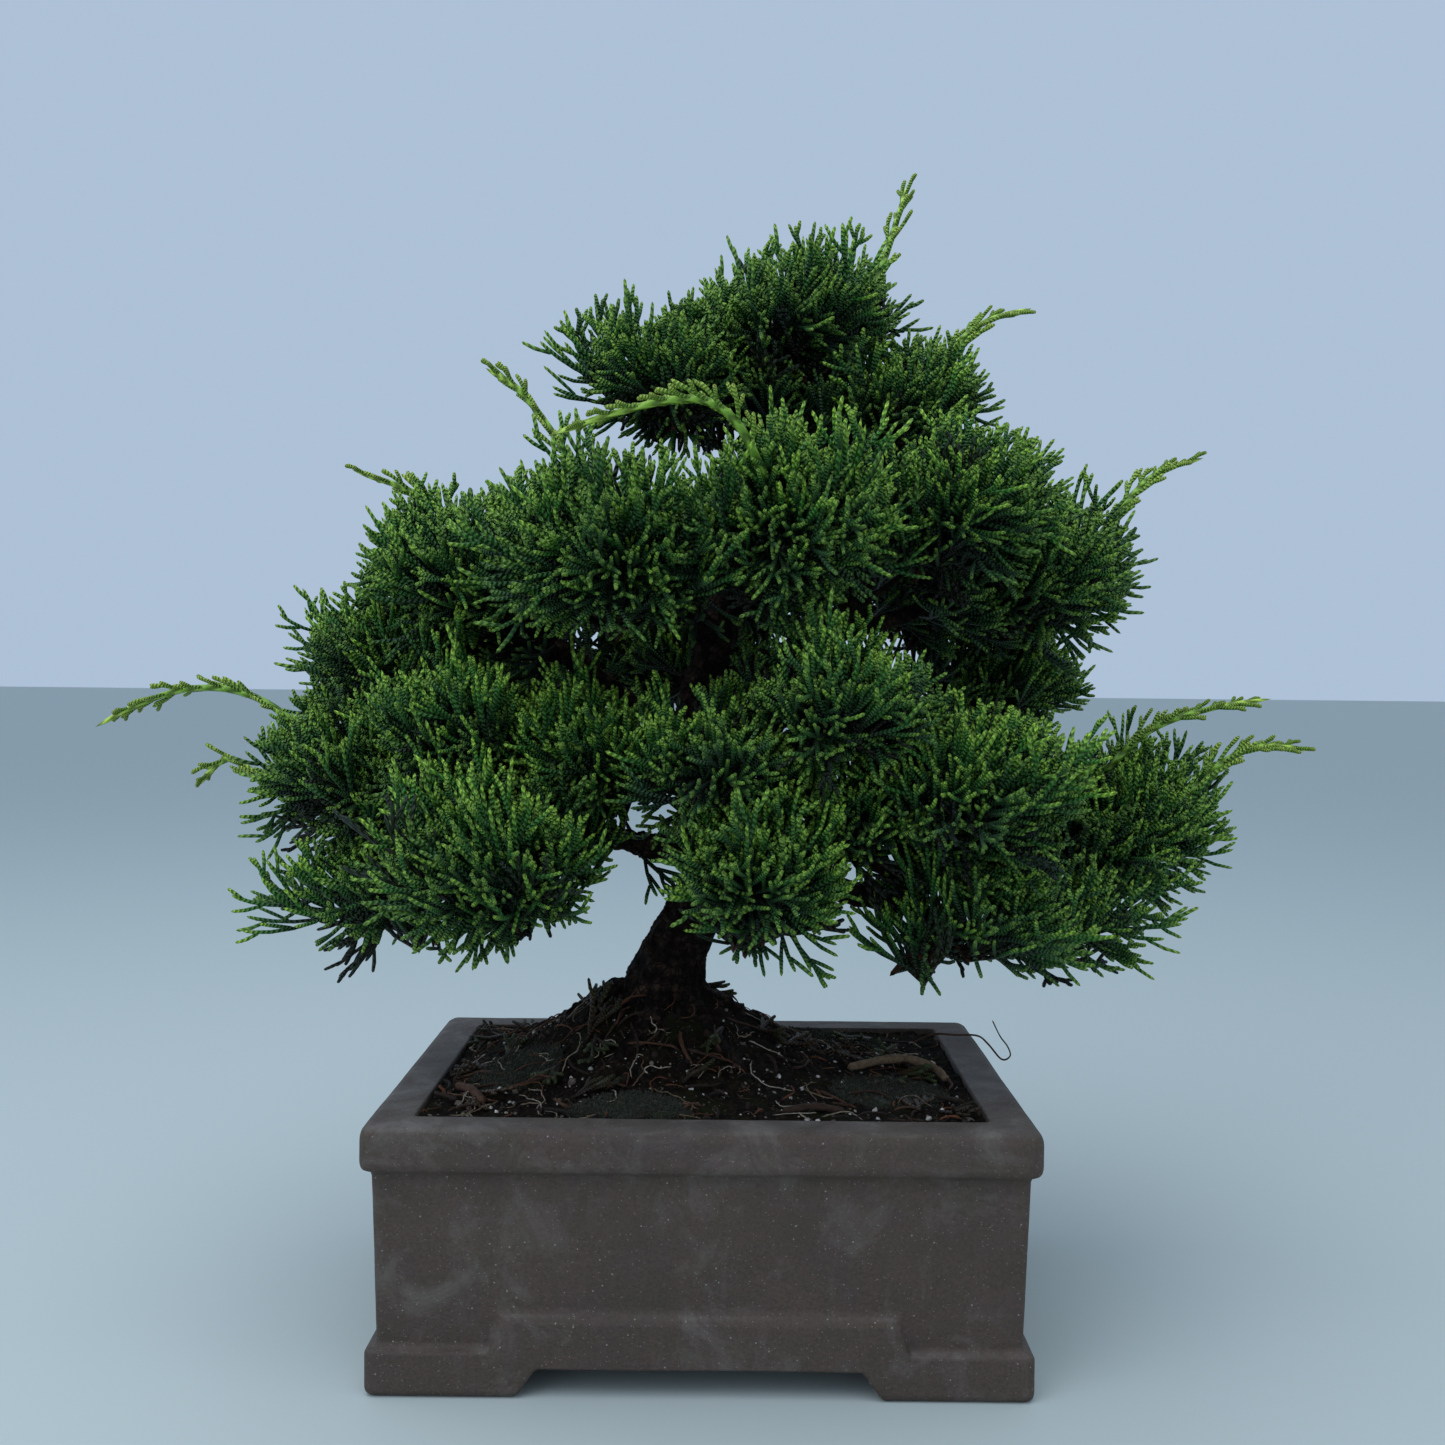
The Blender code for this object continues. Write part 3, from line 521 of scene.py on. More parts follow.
def soil_material():
    """Damp potting soil: near-black humus with brown crumbs, sand grains and a green film of young moss."""
    material, tree, shader = new_material("damp_potting_soil", 0.95, 1.35)
    # Pores between the crumbs swallow most of the light that would glance off.
    shader.inputs["Specular IOR Level"].default_value = 0.15
    place = add_node(tree, "ShaderNodeTexCoord").outputs["Object"]
    crumbs = add_node(
        tree, "ShaderNodeTexNoise", values={"Scale": 1 / (2.5 * MM), "Detail": 8.0, "Roughness": 0.7},
        links={0: place},
    )
    humus = add_node(
        tree, "ShaderNodeValToRGB",
        {"stops": [(0.35, "#0C0A08"), (0.55, "#1E1812"), (0.75, "#3C2F24")]},
        links={0: crumbs.outputs[0]},
    )
    film = add_node(
        tree, "ShaderNodeTexNoise", values={"Scale": 1 / (18 * MM), "Detail": 5.0, "Roughness": 0.7},
        links={0: place},
    )
    filmed = add_node(
        tree, "ShaderNodeMapRange", values={1: 0.5, 2: 0.66, 3: 0.0, 4: 0.6},
        links={0: film.outputs[0]},
    )
    green = add_node(
        tree, "ShaderNodeMix", {"data_type": "RGBA"}, {7: linear("#232A13")},
        {0: filmed.outputs[0], 6: humus.outputs[0]},
    )
    # Sand grains, 2.2 mm apart and 0.5 mm wide.
    sand = add_node(tree, "ShaderNodeTexVoronoi", values={"Scale": 1 / (2.2 * MM)}, links={0: place})
    grains = add_node(
        tree, "ShaderNodeMapRange", values={1: 0.08, 2: 0.13, 3: 0.6, 4: 0.0},
        links={0: sand.outputs[0]},
    )
    sandy = add_node(
        tree, "ShaderNodeMix", {"data_type": "RGBA"}, {7: linear("#A79E92")},
        {0: grains.outputs[0], 6: green.outputs[2]},
    )
    bump = add_node(
        tree, "ShaderNodeBump", values={"Strength": 1.0, "Distance": 0.8 * MM},
        links={"Height": crumbs.outputs[0]},
    )
    tree.links.new(sandy.outputs[2], shader.inputs["Base Color"])
    tree.links.new(bump.outputs[0], shader.inputs["Normal"])
    return material


def tinted_material(name, stops, roughness, pattern, depth):
    """Dry plant matter and grit: each bit takes its colour from its own tint, broken up by its grain."""
    material, tree, shader = new_material(name, roughness, 1.4)
    place = add_node(tree, "ShaderNodeTexCoord").outputs["Object"]
    tint = add_node(tree, "ShaderNodeAttribute", {"attribute_name": "vigour"}).outputs["Fac"]
    tone = add_node(tree, "ShaderNodeValToRGB", {"stops": stops}, links={0: tint})
    fine = add_node(
        tree, "ShaderNodeTexNoise", values={"Scale": 1 / pattern, "Detail": 5.0, "Roughness": 0.7},
        links={0: place},
    )
    worn = add_node(
        tree, "ShaderNodeMapRange", values={1: 0.32, 2: 0.68, 3: 0.45, 4: 1.35},
        links={0: fine.outputs[0]},
    )
    shade = add_node(
        tree, "ShaderNodeVectorMath", {"operation": "SCALE"},
        links={0: tone.outputs[0], 3: worn.outputs[0]},
    )
    bump = add_node(
        tree, "ShaderNodeBump", values={"Strength": 0.8, "Distance": depth},
        links={"Height": fine.outputs[0]},
    )
    tree.links.new(shade.outputs[0], shader.inputs["Base Color"])
    tree.links.new(bump.outputs[0], shader.inputs["Normal"])
    return material


def moss_material():
    """Cushion moss, grown in place: a pile of tiny leaves, matt and soft, which is yellow-green at the top
    and brown where it is dry."""
    material, tree, shader = new_material("cushion_moss", 0.95, 1.35)
    shader.inputs["Sheen Weight"].default_value = 0.15
    place = add_node(tree, "ShaderNodeTexCoord").outputs["Object"]
    pile = add_node(
        tree, "ShaderNodeTexNoise", values={"Scale": 1 / (1.2 * MM), "Detail": 6.0, "Roughness": 0.75},
        links={0: place},
    )
    patches = add_node(
        tree, "ShaderNodeTexNoise", values={"Scale": 1 / (9 * MM), "Detail": 3.0}, links={0: place}
    )
    leaf = add_node(
        tree, "ShaderNodeValToRGB",
        {"stops": [(0.35, "#10120A"), (0.55, "#262B12"), (0.75, "#474E20")]},
        links={0: pile.outputs[0]},
    )
    dry = add_node(
        tree, "ShaderNodeMapRange", values={1: 0.5, 2: 0.68, 3: 0.0, 4: 0.7},
        links={0: patches.outputs[0]},
    )
    mixed = add_node(
        tree, "ShaderNodeMix", {"data_type": "RGBA"}, {7: linear("#241A11")},
        {0: dry.outputs[0], 6: leaf.outputs[0]},
    )
    bump = add_node(
        tree, "ShaderNodeBump", values={"Strength": 1.0, "Distance": 0.6 * MM},
        links={"Height": pile.outputs[0]},
    )
    tree.links.new(mixed.outputs[2], shader.inputs["Base Color"])
    tree.links.new(bump.outputs[0], shader.inputs["Normal"])
    return material


def screen_material():
    """Black polypropylene mesh, moulded: satin, with a film of soil dust in its texture."""
    material, tree, shader = new_material("moulded_polypropylene", 0.45, 1.49)
    place = add_node(tree, "ShaderNodeTexCoord").outputs["Object"]
    dust = add_node(
        tree, "ShaderNodeTexNoise", values={"Scale": 1 / (3 * MM), "Detail": 6.0, "Roughness": 0.7},
        links={0: place},
    )
    tone = add_node(
        tree, "ShaderNodeValToRGB", {"stops": [(0.4, "#17181A"), (0.6, "#24211E"), (0.8, "#4A3F34")]},
        links={0: dust.outputs[0]},
    )
    rough = add_node(
        tree, "ShaderNodeMapRange", values={1: 0.35, 2: 0.7, 3: 0.38, 4: 0.85},
        links={0: dust.outputs[0]},
    )
    bump = add_node(
        tree, "ShaderNodeBump", values={"Strength": 0.4, "Distance": 0.1 * MM},
        links={"Height": dust.outputs[0]},
    )
    tree.links.new(tone.outputs[0], shader.inputs["Base Color"])
    tree.links.new(rough.outputs[0], shader.inputs["Roughness"])
    tree.links.new(bump.outputs[0], shader.inputs["Normal"])
    return material


def paint_material(name, colour, roughness):
    """Matt paint for the studio floor."""
    material, _, shader = new_material(name, roughness, 1.5)
    shader.inputs["Base Color"].default_value = linear(colour)
    return material


# ---- growing ----


def bezier(p0, p1, p2, t):
    return (1 - t) ** 2 * p0 + 2 * t * (1 - t) * p1 + t**2 * p2


def bezier_way(p0, p1, p2, t):
    return unit((1 - t) * (p1 - p0) + t * (p2 - p1))


def growth(curves, radius, ages, vigour, stations=CORD_STATIONS, swell=CORD_SWELL):
    """Scale-leaf cords along curves, each aged from its base to its tip."""
    p0, p1, p2 = (points[:, None, :] for points in curves)
    paths = bezier(p0, p1, p2, stations[None, :, None])
    first, last = (age[:, None] for age in ages)
    return cords(paths, radius[:, None] * swell, first + (last - first) * stations, vigour)


def side_shoots(places, ways, plane, side, tilt, angle, length, lift):
    """Curves that leave a stem on alternate sides and bend back towards its own way, and their planes."""
    across = unit(np.cross(ways, plane))
    lean = side[..., None] * np.cos(tilt)[..., None] * across + np.sin(tilt)[..., None] * plane
    way = np.cos(angle)[..., None] * ways + np.sin(angle)[..., None] * lean
    size = length[..., None]
    middle = places + 0.55 * size * way
    onward = unit(0.6 * way + 0.55 * ways + lift * UP)
    ends = middle + 0.45 * size * onward
    own_plane = unit(plane - (plane * way).sum(-1, keepdims=True) * way)
    return (places, middle, ends), own_plane


def flat(arrays):
    return [a.reshape(-1, a.shape[-1]) for a in arrays]


def alternate(count, number):
    """-1 and 1 in turn for each of these many stems' shoots."""
    return np.tile(np.where(np.arange(number) % 2, 1.0, -1.0), (count, 1))


def sprays(curves, plane, vigour, ripe, rng, branches=AXIS_BRANCHES):
    """Stems with branchlets, and branchlets with tips: a juniper's forked spray.

    A branchlet that leaves low down is the longer for it, so that a spray's tips end together.
    """
    p0, p1, p2 = curves
    count = len(p0)
    ones = np.ones(count)
    length = np.linalg.norm(p1 - p0, axis=1) + np.linalg.norm(p2 - p1, axis=1)
    bundle = [growth(curves, 1.08 * CORD_RADIUS * ones, (0 * ones, ripe), vigour)]

    at = np.linspace(0.16, 0.86, branches) + rng.uniform(-0.05, 0.05, (count, branches))
    stems = [p[:, None, :] for p in curves]
    places, ways = bezier(*stems, at[..., None]), bezier_way(*stems, at[..., None])
    reach = length[:, None] * (0.9 * (1 - at) + 0.12) * rng.uniform(0.72, 1.12, at.shape)
    reach = np.clip(reach, 4 * MM, 25 * MM)
    tilt = rng.normal(0, 0.6, at.shape)
    angle = rng.uniform(0.4, 0.78, at.shape)
    planes = np.broadcast_to(plane[:, None, :], places.shape)
    side = alternate(count, branches)
    made, own_plane = side_shoots(places, ways, planes, side, tilt, angle, reach, 0.24)
    own_plane = own_plane.reshape(-1, 3)
    branch = flat(made)
    first = (ripe[:, None] * (0.1 + 0.5 * at)).ravel()
    last = np.repeat(ripe, branches)
    number = len(first)
    lively = np.repeat(vigour, branches) + rng.normal(0, 0.07, number)
    bundle.append(growth(branch, CORD_RADIUS * rng.uniform(0.88, 1.06, number), (first, last), lively))

    at = np.linspace(0.36, 0.7, BRANCH_TIPS) + rng.uniform(-0.1, 0.1, (number, BRANCH_TIPS))
    stems = [p[:, None, :] for p in branch]
    places, ways = bezier(*stems, at[..., None]), bezier_way(*stems, at[..., None])
    reach = np.clip(reach.ravel()[:, None] * (1.05 * (1 - at) + 0.15), 4.2 * MM, 14 * MM)
    reach = reach * rng.uniform(0.75, 1.15, at.shape)
    side = alternate(number, BRANCH_TIPS) * np.where(rng.random(number) < 0.5, -1, 1)[:, None]
    tilt = rng.normal(0, 0.5, at.shape)
    angle = rng.uniform(0.4, 0.68, at.shape)
    planes = np.broadcast_to(own_plane[:, None, :], places.shape)
    made, _ = side_shoots(places, ways, planes, side, tilt, angle, reach, 0.2)
    start = (first[:, None] + (last - first)[:, None] * at).ravel()
    end = np.repeat(last, BRANCH_TIPS)
    tips = np.repeat(lively, BRANCH_TIPS) + rng.normal(0, 0.06, start.shape)
    thick = CORD_RADIUS * rng.uniform(0.84, 1.0, start.shape)
    ages = (np.minimum(start, end - 0.2), end)
    bundle.append(growth(flat(made), thick, ages, tips, TIP_STATIONS, TIP_SWELL))
    return bundle


def spread_ways(count, rng, jitter):
    """Directions spread evenly over a ball, each a little out of place."""
    k = np.arange(count) + 0.5
    z = 1 - 2 * k / count
    turn = np.pi * (1 + 5**0.5) * k + rng.uniform(0, 2 * np.pi)
    flat_part = np.sqrt(1 - z * z)
    ways = np.stack([flat_part * np.cos(turn), flat_part * np.sin(turn), z], axis=1)
    return unit(ways + rng.normal(0, jitter, ways.shape))


def middle_and_half(node):
    low, high = (np.array(corner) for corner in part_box(node))
    return (low + high) / 2, (high - low) / 2


def grow_pad(node, rng, wood, neighbours, material):
    """The foliage of one leaf pad, and of the wood beside it.

    Returns the point of the wood that carries the pad, and the hubs that its sprays grow from.
    """
    centre, half = middle_and_half(node)
    away = (centre - TREE_MIDDLE) * [1, 1, 0]
    away = away / max(np.linalg.norm(away), 60 * MM)
    root = centre - half * (ROOT_SHIFT * away + ROOT_DROP * UP)
    hub_ways = spread_ways(HUBS, rng, 0.2)
    hubs = root + half * hub_ways * HUB_DEPTH * rng.uniform(0.7, 1.25, (HUBS, 1))

    # The pads that hang below the rest are thin, and let light through.
    hanging = node in HANGING_PADS
    spacing = HANGING_SPACING if hanging else FAN_SPACING
    mean = half.mean()
    ways = spread_ways(round(4 * np.pi * mean**2 / spacing**2), rng, 0.15)
    ways = ways[rng.random(len(ways)) > np.clip(-ways[:, 2] - 0.2, 0, 0.55)]
    count = len(ways)
    boxy = ways / (np.abs(ways) ** PAD_SQUARENESS).sum(axis=1, keepdims=True) ** (1 / PAD_SQUARENESS)
    stray = np.where(rng.random(count) < 0.18, rng.uniform(1.05, 1.22, count), 1.0)
    surface = centre + half * boxy
    lump = 1 + 0.38 * grain(surface, 17 * MM)
    ends = centre + half * boxy * (lump * stray * rng.uniform(0.58, 0.98, count))[:, None]
    ends += 0.14 * half[2] * (1 - np.abs(ways[:, 2:])) * UP
    ends -= 0.3 * half[2] * (np.clip(-ways[:, 2:] - 0.1, 0, 1) * rng.random((count, 1))) * UP

    # More sprays reach out half-way to each pad nearby, so that the pads run together.
    apart = np.linalg.norm(neighbours - centre, axis=1)
    near = neighbours[(apart > MM) & (apart < BRIDGE_REACH)]
    bridges = np.repeat((centre + near) / 2, BRIDGE_SPRAYS, axis=0)
    bridges = bridges + rng.normal(0, 1, bridges.shape) * [8 * MM, 12 * MM, 8 * MM] + 5 * MM * UP
    ends = np.concatenate([ends, bridges])
    ways = np.concatenate([ways, unit(bridges - centre)])
    stray = np.concatenate([stray, np.ones(len(bridges))])
    count = len(ends)

    # A spray rises and leans away from the trunk, so each end looks back for a hub below and behind it.
    rise = unit(0.8 * ways + 0.9 * np.clip(ways[:, 2:] + 0.6, 0, 1) * UP + 0.5 * away)
    wanted = ends - rise * rng.uniform(0.85, 1.25, (count, 1)) * mean
    starts = hubs[np.linalg.norm(wanted[:, None] - hubs, axis=2).argmin(axis=1)]
    under = np.clip(-ways[:, 2] - 0.15, 0, 1)
    # Sprays that face up, and strays that stand out of the pad, get more of the sunlit colours: painted
    # sunlight.  The random spread is the sprays' own.
    vigour = 0.46 + 0.26 * ways[:, 2] + rng.normal(0, 0.15, count) + 0.25 * (stray > 1)

    # Short sprays straight from the limbs fill the gaps between this pad and its neighbours.
    points, normals = wood
    near = np.linalg.norm((points - centre) / half, axis=1)
    beside = np.flatnonzero((near > 0.6) & (near < 1.75) & (points[:, 2] > TREE_FOOT + 48 * MM))
    picked = rng.choice(beside, LIMB_SPRAYS) if len(beside) else beside
    grown = unit(normals[picked] + 0.5 * UP + 0.5 * away + rng.normal(0, 0.35, (len(picked), 3)))
    starts = np.concatenate([starts, points[picked]])
    ends = np.concatenate([ends, points[picked] + grown * rng.uniform(15, 29, (len(picked), 1)) * MM])
    under = np.concatenate([under, np.zeros(len(picked))])
    # Limb sprays lean to the shaded colours: painted shade.
    vigour = np.concatenate([vigour, rng.normal(0.32, 0.12, len(picked))])

    reach = np.linalg.norm(ends - starts, axis=1)[:, None]
    outward = unit((ends - root) * [1, 1, 0] + 1e-6)
    bend = np.where(under[:, None] > 0, 0.08 * UP + 0.1 * outward, 0.15 * outward - 0.18 * UP)
    curves = (starts, 0.45 * starts + 0.55 * ends + reach * bend, ends)
    plane = unit(np.cross(ends - starts, rng.normal(0, 1, ends.shape)))
    ripe = np.where(rng.random(len(ends)) < 0.015 + 0.05 * under, 0.4, 1.0)
    bundle = sprays(curves, plane, vigour, ripe, rng)

    # Old dark sprays fill the inside of the pad: their cords are old, and they take the shaded colours,
    # painted shade.
    number = INNER_SPRAYS // 4 if hanging else INNER_SPRAYS
    starts = hubs[rng.integers(0, HUBS, number)]
    grown = unit(centre - starts + rng.normal(0, 14 * MM, starts.shape))
    ends = starts + grown * rng.uniform(14, 24, (number, 1)) * MM
    plane = unit(np.cross(grown, rng.normal(0, 1, ends.shape)))
    old_and_shaded = rng.normal(0.08, 0.05, number)
    ripe = rng.choice([0.35, 0.55], number)
    bundle += sprays((starts, (starts + ends) / 2, ends), plane, old_and_shaded, ripe, rng, branches=4)
    build_piece(f"foliage_{node}", joined(bundle), material, "scale_leaves", node)

    limb = np.argmin(np.linalg.norm(points - root, axis=1))
    return points[limb], hubs


def grow_shoot(name, points, rng, material):
    """A long shoot: a tapering stem with alternate side shoots that shorten towards its tip."""
    route = smooth_route([(x * MM, y * MM, TREE_FOOT + z * MM) for x, y, z in points], 6)
    along = unit(np.gradient(route, axis=0))
    count = len(route)
    share = np.linspace(0, 1, count)
    span = np.linalg.norm(np.diff(route, axis=0), axis=1).sum()
    radii = (1.45 - 0.55 * share[1:-1])[None] * MM
    radii[:, -1] *= 0.7
    # The shoot and its side shoots take mostly the sunlit colours: their own lime, and painted sunlight.
    vigour = np.array([0.93])
    bundle = [cords(route[None], radii, 0.45 + 0.55 * share[None], vigour)]

    number = max(5, round(span / (4.5 * MM)))
    at = np.linspace(0.12, 0.86, number)
    index = at * (count - 1)
    places = np.stack([np.interp(index, np.arange(count), route[:, axis]) for axis in range(3)], axis=1)
    ways = unit(np.stack([np.interp(index, np.arange(count), along[:, axis]) for axis in range(3)], axis=1))
    plane = unit(np.cross(ways, np.cross(UP, ways) + 0.3 * UP))
    side = alternate(1, number)[0]
    tilt = rng.normal(0, 0.35, number)
    angle = rng.uniform(0.4, 0.58, number)
    length = (19 - 13 * at) * MM * rng.uniform(0.7, 1.15, number)
    made, own_plane = side_shoots(places, ways, plane, side, tilt, angle, length, 0.05)
    ripe = np.ones(number)
    lively = np.full(number, 0.9) + rng.normal(0, 0.04, number)
    bundle += [growth(made, 0.95 * CORD_RADIUS * ripe, (0.5 * ripe, ripe), lively)]

    t = np.array([0.38, 0.66])[None, :, None] + rng.uniform(-0.05, 0.05, (number, 2, 1))
    stems = [p[:, None, :] for p in made]
    places, ways = bezier(*stems, t), bezier_way(*stems, t)
    planes = np.broadcast_to(own_plane[:, None, :], places.shape)
    size = np.maximum(length[:, None] * (0.5 - 0.2 * t[..., 0]), 2.6 * MM)
    tips, _ = side_shoots(
        places, ways, planes, alternate(number, 2), rng.normal(0, 0.3, size.shape),
        rng.uniform(0.5, 0.7, size.shape), size, 0.05,
    )
    ripe = np.ones(2 * number)
    bundle += [growth(flat(tips), 0.88 * CORD_RADIUS * ripe, (0.72 * ripe, ripe), np.repeat(lively, 2))]
    build_piece(f"spray_{name}", joined(bundle), material, "young_shoots", name)


def smooth_route(points, per_span):
    """Points along a Catmull-Rom curve through these ones."""
    route = np.array(points, float)
    ends = np.concatenate([[2 * route[0] - route[1]], route, [2 * route[-1] - route[-2]]])
    t = (np.arange(per_span) / per_span)[:, None]
    spans = []
    for p0, p1, p2, p3 in zip(ends, ends[1:], ends[2:], ends[3:]):
        bend = 2 * p0 - 5 * p1 + 4 * p2 - p3
        twist = 3 * p1 - p0 - 3 * p2 + p3
        spans.append(0.5 * (2 * p1 + (p2 - p0) * t + bend * t**2 + twist * t**3))
    return np.concatenate([*spans, route[-1:]])


# ---- soil ----


def soil_height(x, y):
    """The height of the soil: banked a little against the walls, with a mound round the trunk."""
    to_wall = np.minimum(SOIL_HIGH[0] - np.abs(x), SOIL_HIGH[1] - np.abs(y))
    window = np.clip(to_wall / SOIL_EDGE, 0, 1)
    window = window * window * (3 - 2 * window)
    across = (x - MOUND_CENTRE[0]) / MOUND_REACH[0]
    back = (y - MOUND_CENTRE[1]) / MOUND_REACH[1]
    mound = window * MOUND_RISE * np.exp(-across * across - back * back)
    return SOIL_LEVEL + mound + SOIL_BANK * np.exp(-np.maximum(to_wall, 0) / (5 * MM))


def soil_relief(x, y):
    """The soil's height with its lumps and crumbs."""
    plan = np.stack([x.ravel(), y.ravel(), 0 * x.ravel()], axis=1)
    lumps = 1.1 * grain(plan, 9 * MM) + 0.7 * grain(plan, 3.2 * MM, 7.0) + 0.45 * grain(plan, 1.3 * MM, 3.0)
    return soil_height(x, y) + lumps.reshape(x.shape) * MM


def grid_faces(rows, columns):
    index = np.arange(rows * columns).reshape(rows, columns)
    quads = np.stack([index[:-1, :-1], index[:-1, 1:], index[1:, 1:], index[1:, :-1]], axis=-1)
    return quads.reshape(-1, 4)


def make_soil(material):
    """The soil as one closed block, its top crumbled."""
    columns, rows = 330, 236
    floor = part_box("drain_screen_left")[1][2] + 0.3 * MM
    along = np.linspace(SOIL_LOW[0], SOIL_HIGH[0], columns)
    across = np.linspace(SOIL_LOW[1], SOIL_HIGH[1], rows)
    x, y = np.meshgrid(along, across)
    top = np.stack([x, y, soil_relief(x, y)], axis=-1).reshape(-1, 3)
    rim = np.concatenate([
        np.arange(columns),
        np.arange(1, rows) * columns + columns - 1,
        (rows - 1) * columns + np.arange(columns - 2, -1, -1),
        np.arange(rows - 2, 0, -1) * columns,
    ])
    # The block narrows a little towards the pot's floor.
    foot = top[rim].copy()
    foot[:, :2] *= (SOIL_HIGH[0] - 2 * MM) / SOIL_HIGH[0]
    foot[:, 2] = floor
    lower = len(top) + np.arange(len(rim))
    ahead = np.roll(np.arange(len(rim)), -1)
    walls = np.stack([rim, lower, lower[ahead], rim[ahead]], axis=1)
    quads = np.concatenate([grid_faces(rows, columns), walls])
    corners = np.concatenate([quads.ravel(), lower[::-1]])
    sizes = np.concatenate([np.full(len(quads), 4), [len(rim)]])
    arrays = {"points": np.concatenate([top, foot]), "corners": corners, "sizes": sizes}
    build_piece("soil_block", arrays, material, "soil", "soil")


def scattered(rng, count, margin):
    """Random places on the soil, clear of the walls."""
    x = rng.uniform(SOIL_LOW[0] + margin, SOIL_HIGH[0] - margin, count)
    y = rng.uniform(SOIL_LOW[1] + margin, SOIL_HIGH[1] - margin, count)
    return x, y


def make_crumbs(rng, material):
    """Crumbs of bark, pumice and clay on the soil."""
    count = CRUMBS
    golden = (1 + 5**0.5) / 2
    ico = []
    for a in (-1, 1):
        for b in (-golden, golden):
            ico += [(0, a, b), (a, b, 0), (b, 0, a)]
    ico = unit(np.array(ico, float))
    faces = []
    for i in range(12):
        for j in range(i + 1, 12):
            for k in range(j + 1, 12):
                edges = [np.linalg.norm(ico[p] - ico[q]) for p, q in ((i, j), (j, k), (i, k))]
                if max(edges) < 1.06:
                    turned = np.dot(np.cross(ico[j] - ico[i], ico[k] - ico[i]), ico[i]) > 0
                    faces.append((i, j, k) if turned else (i, k, j))
    faces = np.array(faces)

    x, y = scattered(rng, count, 2 * MM)
    size = rng.gamma(1.4, 0.4, count)[:, None, None] * MM * 0.55 + 0.2 * MM
    stretch = rng.uniform(0.6, 1.3, (count, 1, 3))
    rough = rng.uniform(0.72, 1.2, (count, 12, 1))
    turn = unit(rng.normal(0, 1, (count, 3)))
    second = unit(np.cross(turn, rng.normal(0, 1, (count, 3))))
    axes = np.stack([turn, second, np.cross(turn, second)], axis=1)
    points = np.einsum("nvi,nij->nvj", ico[None] * stretch * rough * size, axes)
    centre = np.stack([x, y, soil_relief(x, y)], axis=1)
    points = points + centre[:, None]
    arrays = {
        "points": points.reshape(-1, 3),
        "corners": (faces.ravel() + 12 * np.arange(count)[:, None]).ravel(),
        "sizes": np.full(len(faces) * count, 3),
        "vigour": np.repeat(rng.random(count), 12),
    }
    build_piece("soil_crumbs", arrays, material, "soil", "soil")


def lying_routes(rng, x, y, length, stations, wander, thickness):
    """Paths that lie on the soil from these places, wandering as they go, each this thick."""
    heading = rng.uniform(0, 2 * np.pi, len(x))
    step = length / (stations - 1)
    path = []
    for _ in range(stations):
        x = np.clip(x, SOIL_LOW[0] + 1.5 * MM, SOIL_HIGH[0] - 1.5 * MM)
        y = np.clip(y, SOIL_LOW[1] + 1.5 * MM, SOIL_HIGH[1] - 1.5 * MM)
        path.append(np.stack([x, y, soil_height(x, y) + thickness], axis=1))
        heading = heading + rng.normal(0, wander, len(x))
        x = x + step * np.cos(heading)
        y = y + step * np.sin(heading)
    return np.stack(path, axis=1)


def make_litter(rng, material):
    """Broken twigs, shed sprigs gone brown, and root ends, strewn on the soil."""
    bundle = []
    # Twigs, twig ends, needles and hair roots: how many, least and greatest length and radius in mm,
    # stations, wander, and darkest and palest tint.
    for count, low, high, thin, thick, stations, wander, dark, pale in (
        (34, 8, 19, 0.5, 0.85, 12, 0.16, 0.1, 0.68),
        (110, 6, 16, 0.3, 0.65, 9, 0.22, 0.05, 0.65),
        (240, 3, 8, 0.2, 0.45, 6, 0.3, 0.0, 0.7),
        (150, 8, 26, 0.14, 0.26, 16, 0.42, 0.62, 1.0),
    ):
        # Most of it has washed to the left end of the pot.
        x = SOIL_LOW[0] + 3 * MM + (SOIL_HIGH[0] - SOIL_LOW[0] - 6 * MM) * rng.beta(0.75, 1.1, count)
        y = scattered(rng, count, 3 * MM)[1]
        length = rng.uniform(low, high, count) * MM
        radius = rng.uniform(thin, thick, count) * MM
        lift = radius + rng.uniform(0.2, 1.6, count) * MM
        paths = lying_routes(rng, x, y, length, stations, wander, lift)
        arch = np.sin(np.linspace(0, np.pi, stations)) * rng.uniform(-0.5, 2.2, (count, 1)) * MM
        paths[..., 2] += arch
        knobs = np.linspace(1, 0.7, stations - 2) * rng.uniform(0.68, 1.22, (count, stations - 2))
        ages = np.tile(np.linspace(0, 1, stations), (count, 1))
        bundle.append(cords(paths, radius[:, None] * knobs, ages, rng.uniform(dark, pale, count)))
    build_piece("soil_litter", joined(bundle), material, "dead_wood", "soil")


